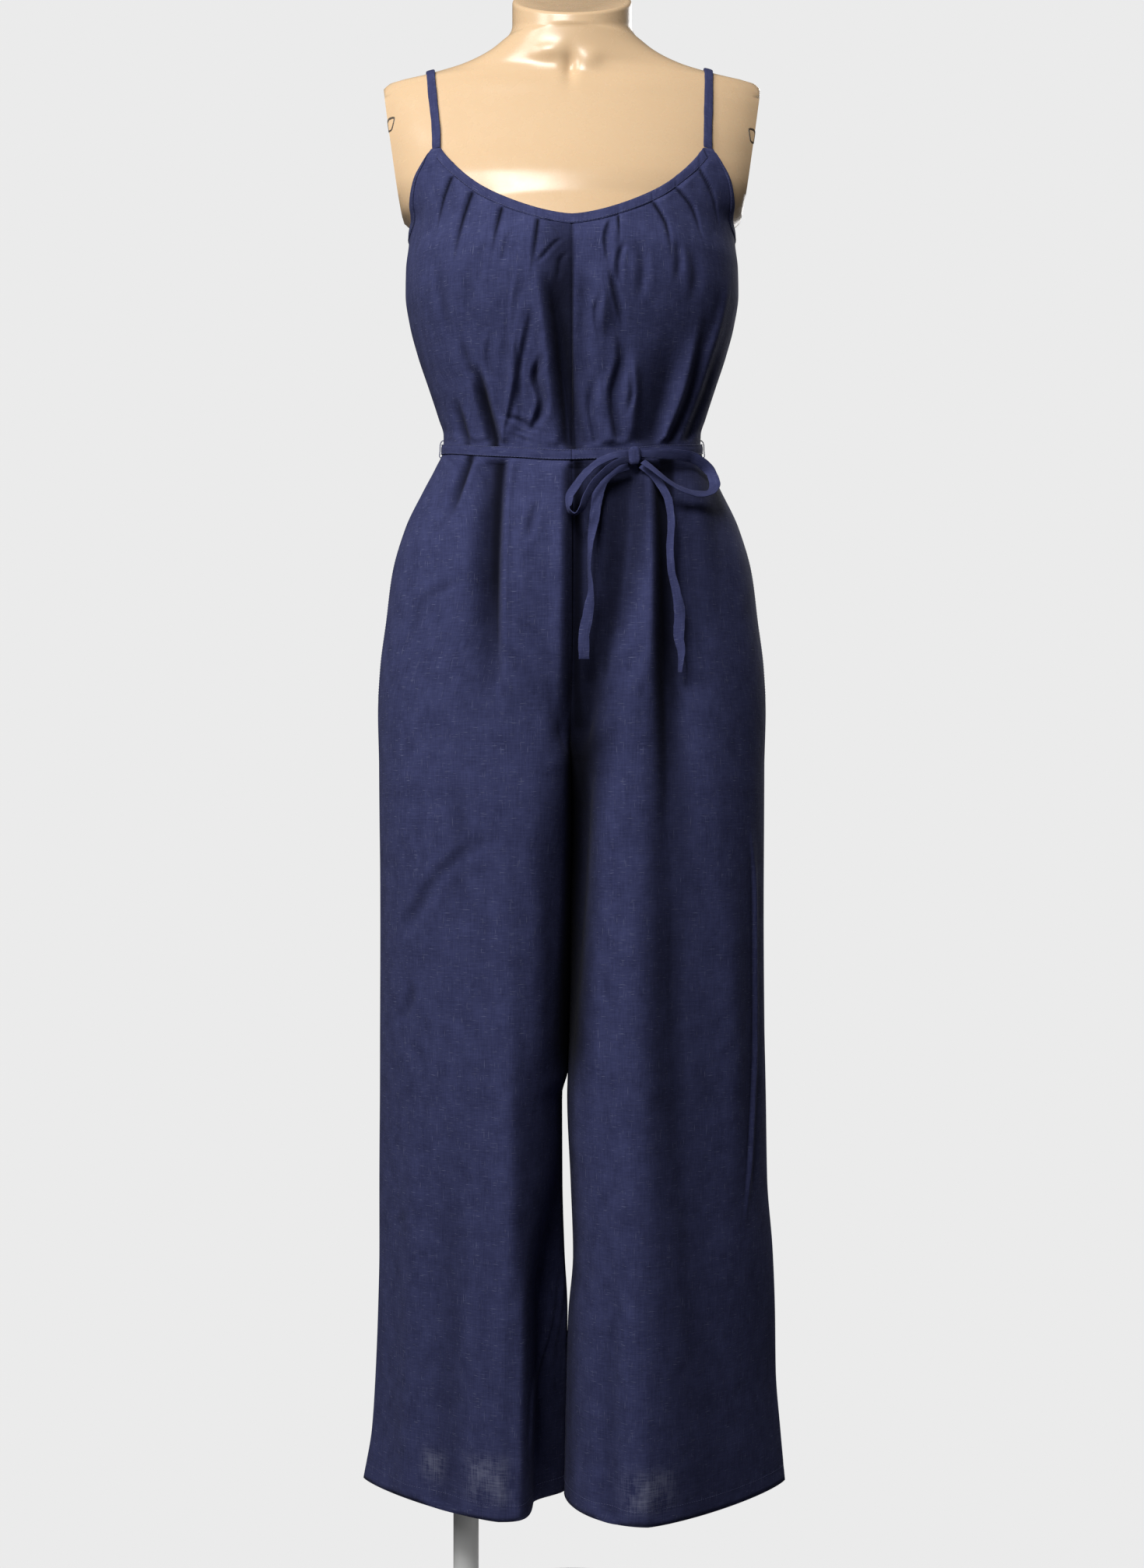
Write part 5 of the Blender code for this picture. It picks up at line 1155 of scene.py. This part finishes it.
# ---------------------------------------------------------------- bands along the upper edges
# The neckline and armholes are bound with narrow strips of the same linen, folded in and topstitched
# along their lower edge. The pleats are caught under the front one and show as short ticks across it.
BAND_WALL, BAND_LIFT, BAND_END = 0.0007, 0.0005, np.radians(0.35)
BAND_ROUND, BAND_OVER = 0.0006, 0.0002  # how round a band is, and how far it goes over the cloth's edge
BAND_ROWS = {}  # each band's points, for its stitches


def edge_band(word, sides, angles, top, creases):
    """A band over the cloth's upper edge. creases are those of the cloth at each angle."""
    across = np.linspace(0, 1, 8)[:, None]
    level = top[None, :] - BAND_WIDTH + (BAND_WIDTH + BAND_OVER) * across
    bulge = BAND_ROUND * np.sqrt(np.clip(1 - (2 * across - 1) ** 2, 0, 1))
    angle, side = np.broadcast_to(angles, level.shape), np.broadcast_to(sides, level.shape)
    pucker = 0.00018 * np.sin(angle * 190) * (1 - across)
    points = torso(side, angle, level, creases, -(BAND_LIFT + bulge + pucker))
    ticks = np.zeros_like(level)
    for pleat in PLEATS if creases is BODICE_CREASES else []:
        ticks += 0.0007 * np.exp(-(((points[..., 0] - pleat.points[0][0]) / 0.0011) ** 2))
    out = np.stack([side * np.sin(angle), -np.cos(angle), np.zeros_like(angle)], axis=-1)
    made = cloth_panel(word, points - out * ticks[..., None], wall=BAND_WALL)
    BAND_ROWS[word] = points


def make_bands():
    angles, sides = over_middle(np.linspace(SEAT_IN - BAND_END, 0.0, 110), RIGHT)
    edge_band("neckline_band_front", sides, angles, front_top(angles), BODICE_CREASES)
    angles, sides = over_middle(np.linspace(BACK_SEAT_IN + BAND_END, np.pi, 50), LEFT)
    edge_band("neckline_band_back", sides, angles, back_top(angles), BODICE_BACK_CREASES)
    for side, word in SIDES:
        front = np.linspace(SEAT_OUT + BAND_END, np.pi / 2, 60)
        back = np.linspace(np.pi / 2, BACK_SEAT_OUT - BAND_END, 40)[1:]
        angles = np.concatenate([front, back])
        top = np.where(angles <= np.pi / 2, front_top(angles), back_top(angles))
        edge_band(f"armhole_band_{word}", np.full(len(angles), side), angles, top, [])


make_bands()

# ---------------------------------------------------------------- stitches
# Navy thread, sewn by machine about 2.8 mm apart: along the lower edge of the bands, along the upper edge
# of the tie and around both hems, and as short tacks at the ends of the pocket slits.
STITCH_STEP, STITCH_LENGTH, STITCH_START, STITCH_LIFT = 0.0028, 0.0020, 0.0006, 0.0001
THREAD_RADIUS = 0.00023
SLIT_LOW, SLIT_HIGH, SLIT_SHARE = 0.924, 1.074, 0.975  # a pocket's slit, and how near the side seam it is sewn
THREAD_NAVY = (0.070, 0.078, 0.170)


def sewing_thread(tree):
    """Twisted thread: navy with fine random spots, paler and darker, which stand in for a painted highlight
    on top of each turn of its twist.
    """
    dark, pale = ([share * c for c in THREAD_NAVY] for share in (0.45, 1.5))
    return {"Base Color": blend(tree, noise(tree, 1400.0, 2.0), dark, pale), "Roughness": 0.55}


SEWING_THREAD = surface("sewing_thread", sewing_thread)


def swept(path, across, up, wide, high):
    """Rings round the points of a path, from how far each of their points lies across and up."""
    return path[:, None] + across[:, None] * wide[..., None] + up[:, None] * high[..., None]


def stitches(name, lines):
    """Rows of stitches along lines of (points, outward)."""
    spots, faces = [], []
    turns = np.linspace(0, 2 * np.pi, 6, endpoint=False)
    for points, outward in lines:
        reach = np.concatenate([[0], np.linalg.norm(np.diff(points, axis=0), axis=-1).cumsum()])
        for start in np.arange(STITCH_START, reach[-1] - STITCH_LENGTH, STITCH_STEP):
            at = start + STITCH_LENGTH * np.array([0.0, 0.25, 0.75, 1.0])
            middle = np.stack([np.interp(at, reach, points[:, k]) for k in range(3)], -1)
            out = unit(np.array([np.interp(at[1], reach, outward[:, k]) for k in range(3)]))
            middle += out * (THREAD_RADIUS * np.array([-0.6, 0.5, 0.5, -0.6]) + STITCH_LIFT)[:, None]
            across = np.cross(unit(middle[3] - middle[0]), out)
            size = THREAD_RADIUS * np.array([0.5, 1.0, 1.0, 0.5])[:, None]
            faces.append(len(spots) * 24 + ring_faces(4, 6))
            ring = swept(middle, across[None], out[None], size * np.cos(turns), size * np.sin(turns))
            spots.append(ring.reshape(-1, 3))
    made = finish_mesh(name, np.concatenate(spots), np.concatenate(faces), SEWING_THREAD)
    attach(made, "root")
    return made


def make_stitches():
    for word in ("neckline", "armhole"):
        rows = [band[1] for name, band in BAND_ROWS.items() if word in name]
        stitches(f"{word}_stitches", [(row, outward_of(row)) for row in rows])
    hems, slits = [], []
    share = np.linspace(SEAM_SHARE, 1 - SEAM_SHARE, 150)
    for side, _ in SIDES:
        for front, creases in ((True, TROUSER_CREASES), (False, TROUSER_BACK_CREASES)):
            line = trouser(side, share, np.full_like(share, HEM + HEM_TURN), front, creases)
            hems.append((line, unit(line - np.array([side * LEG_CENTRE, 0, HEM + HEM_TURN]))))
    stitches("hem_stitches", hems)
    for side, _ in SIDES:
        level = np.linspace(SLIT_LOW + 0.002, SLIT_HIGH - 0.002, 60)
        slits.append(trouser(side, np.full_like(level, SLIT_SHARE), level, True, []))
        tack = np.linspace(SLIT_SHARE - 0.002, SLIT_SHARE + 0.022, 6)
        for end in (SLIT_LOW, SLIT_HIGH):
            slits += [trouser(side, tack, np.full_like(tack, end + 0.0007 * k), True, []) for k in range(4)]
    stitches("pocket_stitches", [(line, outward_of(line)) for line in slits])


make_stitches()

# ---------------------------------------------------------------- straps
# A narrow flat tube of the same linen goes from each corner of the neckline over the shoulder to the back.
# Each was sewn inside out and turned, so its edges are rounded.
STRAP_WIDTH, STRAP_WALL, STRAP_LAY = 0.009, 0.0018, 0.0012
TAPE_LINE = 0.0003  # depth of the line beside each edge
STRAP_TOP_X = {LEFT: 0.134, RIGHT: 0.1405}
STRAP_TILT = 0.0008  # how far a slanting strap's corner dips below its end
STRAP_SEWN_IN = 0.0006  # how far its ends go down into their seats
STRAP_CENTRE_Y, STRAP_CENTRE_Z, STRAP_RAY = 0.012, 1.440, 0.20
STRAP_LEAVE = 0.25  # share of the strap over which it comes down from its seat to the form


def form_surface(x, direction):
    """The form's surface over a strap: found along rays in the plane at x."""

    def place(reach):
        return STRAP_CENTRE_Y + reach * np.cos(direction), STRAP_CENTRE_Z + reach * np.sin(direction)

    def inside(reach):
        y, z = place(reach)
        return np.hypot(x, y) < form_radius(np.arctan2(x, -y), z)

    return np.stack([x, *place(last_inside(inside, np.zeros_like(x), np.full_like(x, STRAP_RAY)))], axis=-1)


def strap_path(side, count):
    """Centre line of a strap, from its front seat over the shoulder to its back seat, and its outward."""
    seats = ((0.5 * (SEAT_IN + SEAT_OUT), STRAP_SEAT), (0.5 * (BACK_SEAT_IN + BACK_SEAT_OUT), SEAT_BACK))
    front, back = (torso(LEFT, np.array([angle]), np.array([level]), [])[0] for angle, level in seats)
    front[2] += STRAP_TILT - STRAP_SEWN_IN
    back[2] += STRAP_TILT - STRAP_SEWN_IN
    start, stop = (np.arctan2(end[2] - STRAP_CENTRE_Z, end[1] - STRAP_CENTRE_Y) for end in (front, back))
    t = np.linspace(0, 1, count)
    direction = start + (stop - start) * t
    across = [front[0], front[0], STRAP_TOP_X[side], back[0], back[0]]
    x = smooth_between([0, 0.04, 0.48, 0.96, 1.0], across, t)
    on_form = form_surface(x, direction)
    aside = form_surface(x + 0.002, direction)
    outward = unit(np.cross(aside - on_form, np.gradient(on_form, axis=0)))
    if outward[count // 2, 2] < 0:
        outward = -outward
    path = on_form + outward * (STRAP_LAY + STRAP_WALL / 2)
    path += (front - path[0]) * (np.maximum(1 - t / STRAP_LEAVE, 0) ** 2)[:, None]
    path += (back - path[-1]) * (np.maximum(1 - (1 - t) / STRAP_LEAVE, 0) ** 2)[:, None]
    mirror = np.array([side, 1, 1])
    return path * mirror, outward * mirror


def tape(node, path, outward, width, thick):
    """A flat tube of cloth along a path, with rounded edges, closed ends and a shallow line beside each
    edge. width may change along it."""
    count = len(path)
    along = unit(np.gradient(path, axis=0))
    across = unit(np.cross(along, outward))
    up = np.cross(across, along)
    wide, high = oval(np.linspace(-np.pi / 2, 1.5 * np.pi, 24, endpoint=False), 0.5, 0.7)
    high = high * (1 - 2 * TAPE_LINE / thick * np.exp(-(((np.abs(wide) - 0.80) / 0.07) ** 2)))
    closing = np.ones(count)
    closing[[0, -1]], closing[[1, -2]] = 0.06, 0.75
    half_wide, half_high = 0.5 * width[:, None], 0.5 * thick * closing[:, None]
    made = cloth_panel(node, swept(path, across, up, wide * half_wide, high * half_high), wall=0, closed=True)
    normals_out(made.data)
    return made


def make_straps():
    for side, word in SIDES:
        path, outward = strap_path(side, 130)
        t = np.linspace(0, 1, 130)
        width = STRAP_WIDTH * (0.96 + 0.03 * np.sin(t * 37 + side) + 0.02 * np.sin(t * 83))
        made = tape(f"strap_{word}", path, outward, width, STRAP_WALL)


make_straps()

# ---------------------------------------------------------------- pocket facings
# A strip of the same linen behind each side seam backs the slit of the pocket. Half of it lies behind the
# front of the leg and half behind the back, and it is sewn to both along its edges.
POCKET_TOP, POCKET_BOTTOM = 1.076, 0.922
FACING_WALL, LAY, SOLID_WALL = 0.0010, 0.0004, 0.0016


def make_pocket_facings():
    level = np.linspace(POCKET_BOTTOM, POCKET_TOP, 40)[:, None]
    depth = SOLID_WALL + 2 * LAY
    for side, word in SIDES:
        share = np.linspace(0.89, 1.0, 8)[None, :]
        front = trouser(side, *np.broadcast_arrays(share, level), True, [], depth)
        back = trouser(side, *np.broadcast_arrays(share[:, -2::-1], level), False, [], depth)
        points = np.concatenate([front, back], axis=1)
        middle = (side * LEG_CENTRE, 0, 0)
        made = cloth_panel(f"pocket_facing_{word}", points, middle, wall=FACING_WALL)


make_pocket_facings()

# ---------------------------------------------------------------- tie belt
# One long narrow tube of the same linen, turned right side out and stitched along its edges. It goes once
# round the waist and is tied in a bow at the front left: band, knot, two loops and two hanging tails.
TIE_SHOWN = 0.0095
KNOT_X, KNOT_Z = 0.059, 1.1495
KNOT_SIZE = (0.0058, 0.0047, 0.0092)
KNOT_LAY = 0.0012
TIE_WALL, TIE_LAY, TIE_UP, TIE_WAVE = 0.0016, 0.0009, 0.0006, 0.0003
# Round the waist the tie bulges, and its stitches, at a share of its half width, press a dent into it.
TIE_BULGE, TIE_DENT, TIE_STITCHED = 0.0008, 0.0003, 0.72
CARRIER_HALF, CARRIER_ANGLE, CARRIER_LIFT = 0.0085, np.radians(86), 0.0034
CARRIER_TWIST, CARRIER_RADIUS = 16, 0.0005
# The free stretches of the tie. x and z are places in the front view, lift is the distance of the tape's
# middle from the cloth behind it, and turn is how far the tape is twisted, in degrees.
Bend = namedtuple("Bend", "x z lift width turn")
TIE_ROUTES = {
    "tie_loop_right": in_metres(Bend, 1, [
        (53, 1151.2, 8, 6, 0), (41, 1149, 9, 7.5, 25), (28, 1143.5, 8.5, 8.5, 35), (14, 1132, 7.5, 9, 40),
        (3.5, 1118, 6.5, 9.5, 35), (-2.5, 1106, 6, 10, 40), (-2.5, 1095, 6.5, 10.5, 75),
        (3.5, 1090.5, 9, 10.5, 90), (9, 1095.5, 13, 10, 60), (13, 1106, 14, 9, 45), (21, 1120, 14.5, 8.5, 35),
        (33, 1133, 14.5, 8, 30), (44, 1141.5, 14, 7, 20), (53, 1145.5, 11.5, 6, 0),
    ]),
    "tie_loop_left": in_metres(Bend, 1, [
        (65.5, 1151.8, 8, 6, 0), (78, 1152, 8.5, 8.5, 10), (95, 1153.5, 8, 10, 15), (112, 1153, 9, 10.5, 25),
        (126, 1147, 10, 10.5, 45), (134.5, 1137, 12, 10.5, 70), (136.5, 1126, 14, 10.5, 85),
        (131, 1116.5, 15, 10, 70), (118, 1113.5, 15, 9.5, 45), (104, 1116.5, 15, 8.5, 40),
        (91, 1123.5, 15, 8, 40), (78, 1134, 14.5, 7, 30), (66.5, 1143.5, 11.5, 6, 0),
    ]),
    "tie_tail_right": in_metres(Bend, 1, [
        (53.5, 1139.2, 4.5, 6, 0), (41.5, 1134.5, 4, 7.5, 10), (30, 1125, 3.5, 9.5, 15),
        (24, 1109, 3, 10.5, 10), (20.5, 1085, 3, 10, 25), (17, 1060, 3.5, 9, 62), (16, 1040, 3.5, 8, 72),
        (17.5, 1020, 3.5, 9, 60), (15, 998, 3, 10.5, 15), (11, 975, 3, 10.5, 5), (11.2, 956, 3, 10, 0),
    ]),
    "tie_tail_left": in_metres(Bend, 1, [
        (65, 1140.5, 4.5, 6, 0), (76, 1131.5, 4, 7, 25), (85, 1119, 4, 8, 50), (91, 1105, 3.5, 8.5, 60),
        (93, 1085, 3, 8.5, 62), (91.5, 1060, 3, 8.5, 60), (92.5, 1040, 3, 8.5, 58), (97, 1020, 3, 9, 50),
        (100.5, 998, 3, 10.5, 20), (99.5, 978, 3, 10, 30), (102, 962, 3, 8.5, 60), (100.5, 944, 3, 7, 80),
    ]),
}


def front_of_cloth(x, z):
    """How far forward the cloth, without its folds, reaches at a place in the front view."""
    side = np.where(x < 0, RIGHT, LEFT)
    level = z + drop(np.zeros_like(x), z)
    for _ in range(3):
        angle = solve_angle(np.abs(x), level, side)
        level = z + drop(angle, level)
    return -torso(side, angle, level, [])[..., 1]


def tie_stretch(name, count, length):
    """One free stretch of the tie: a twisted tape that follows its route in front of the cloth."""
    table = np.array(TIE_ROUTES[name], float)
    reach = np.concatenate([[0], np.cumsum(np.hypot(*np.diff(table[:, :2], axis=0).T))])
    at = np.linspace(0, reach[-1], count)
    x, z, lift, width, turn = (smooth_between(reach, table[:, k], at) for k in range(5))
    lift = lift + 0.5 * width * np.abs(np.sin(np.radians(turn)))
    cloth = np.max([front_of_cloth(x + step, z) for step in (-0.005, 0.0, 0.005)], axis=0)
    path = np.stack([x, -(cloth + lift), z], axis=-1)
    along = unit(np.gradient(path, axis=0))
    slope = (front_of_cloth(x + 0.003, z) - front_of_cloth(x - 0.003, z)) / 0.006
    flat = np.stack([-slope, -np.ones_like(x), np.zeros_like(x)], axis=-1)
    flat = unit(flat - along * (flat * along).sum(axis=-1, keepdims=True))
    turn = np.radians(turn)[:, None]
    outward = flat * np.cos(turn) + np.cross(along, flat) * np.sin(turn)
    wave = 1 + 0.03 * np.sin(at * 310) + 0.02 * np.sin(at * 730 + 1)
    made = tape(name, path, outward, width * wave, TIE_WALL)


def make_tie_band():
    """The tie round the waist: a flat tube that lies on the cloth."""
    angles = np.linspace(0, 2 * np.pi, 241)
    folded = np.where(angles > np.pi, 2 * np.pi - angles, angles)
    sides = np.where(angles > np.pi, RIGHT, LEFT)
    across = np.sin(np.linspace(-np.pi / 2, np.pi / 2, 9))[:, None]
    level = WAIST + TIE_UP + 0.5 * TIE_SHOWN * across + TIE_WAVE * np.sin(angles * 9)[None, :]
    bulge = TIE_BULGE * np.sqrt(np.clip(1 - across**2, 0, 1))
    bulge = bulge - TIE_DENT * np.exp(-(((np.abs(across) - TIE_STITCHED) / 0.1) ** 2))
    angle, side, level = np.broadcast_arrays(folded[None, :], sides[None, :], level)
    front = np.array(torso(side, angle, level, [], -(TIE_LAY + TIE_BULGE + bulge)))
    made = cloth_panel("tie_band", front, wall=TIE_WALL)
    stitches("tie_stitches", [(front[row], outward_of(front[row])) for row in (1, 7)])


def make_knot():
    """The knot of the bow: a short wrap of the tape over the crossing."""
    down, turns = np.linspace(-1, 1, 25), np.linspace(0, 2 * np.pi, 48, endpoint=False)
    across, ahead = oval(turns, 0.8, 1)
    swell = np.clip(1 - np.abs(down) ** 3.2, 0, 1) ** (1 / 2.4)
    wrap = 1 + 0.05 * np.cos(3 * turns[None, :] + 1.2) + 0.035 * np.cos(7 * turns[None, :] + 2 * down[:, None])
    x = KNOT_SIZE[0] * swell[:, None] * across * wrap
    y = KNOT_SIZE[1] * swell[:, None] * ahead * wrap
    z = KNOT_SIZE[2] * down[:, None] + 0.08 * x
    reach = float(front_of_cloth(np.array([KNOT_X]), np.array([KNOT_Z]))[0])
    lift = TIE_LAY + TIE_WALL + SEAM_GAP + KNOT_SIZE[1] + KNOT_LAY
    points = np.stack([KNOT_X + x, y - reach - lift, KNOT_Z + z], axis=-1)
    made = cloth_panel("tie_knot", points, out=(KNOT_X, -reach - lift, 0), wall=0, closed=True)


def make_thread_carriers():
    """A loop of twisted thread at each side seam, which holds the tie up."""
    for side, word in SIDES:
        t = np.linspace(-1, 1, 41)
        level = WAIST + TIE_UP + CARRIER_HALF * t
        angle = np.full_like(t, CARRIER_ANGLE)
        lift = 0.0002 + CARRIER_LIFT * np.clip(1 - np.abs(t) ** 3, 0, 1) ** 0.5
        on_cloth = torso(side, angle, level, [])
        path = on_cloth + outward_of(on_cloth) * lift[:, None]
        along = unit(np.gradient(path, axis=0))
        first = unit(np.cross(along, [0.0, 1.0, 0.0]))
        second = np.cross(along, first)
        turns = np.linspace(0, 2 * np.pi, 12, endpoint=False)
        twist = turns + CARRIER_TWIST * t[:, None]
        radius = CARRIER_RADIUS * (1 + 0.25 * np.cos(2 * turns))
        points = swept(path, first, second, radius * np.cos(twist), radius * np.sin(twist))
        made = finish_mesh(f"thread_carrier_{word}", points.reshape(-1, 3), ring_faces(41, 12), SEWING_THREAD)
        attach(made, "root")


make_tie_band()
make_knot()
make_thread_carriers()
for name, count, length in (
    ("tie_loop_right", 110, 0.16),
    ("tie_loop_left", 120, 0.17),
    ("tie_tail_right", 110, 0.20),
    ("tie_tail_left", 110, 0.21),
):
    tie_stretch(name, count, length)
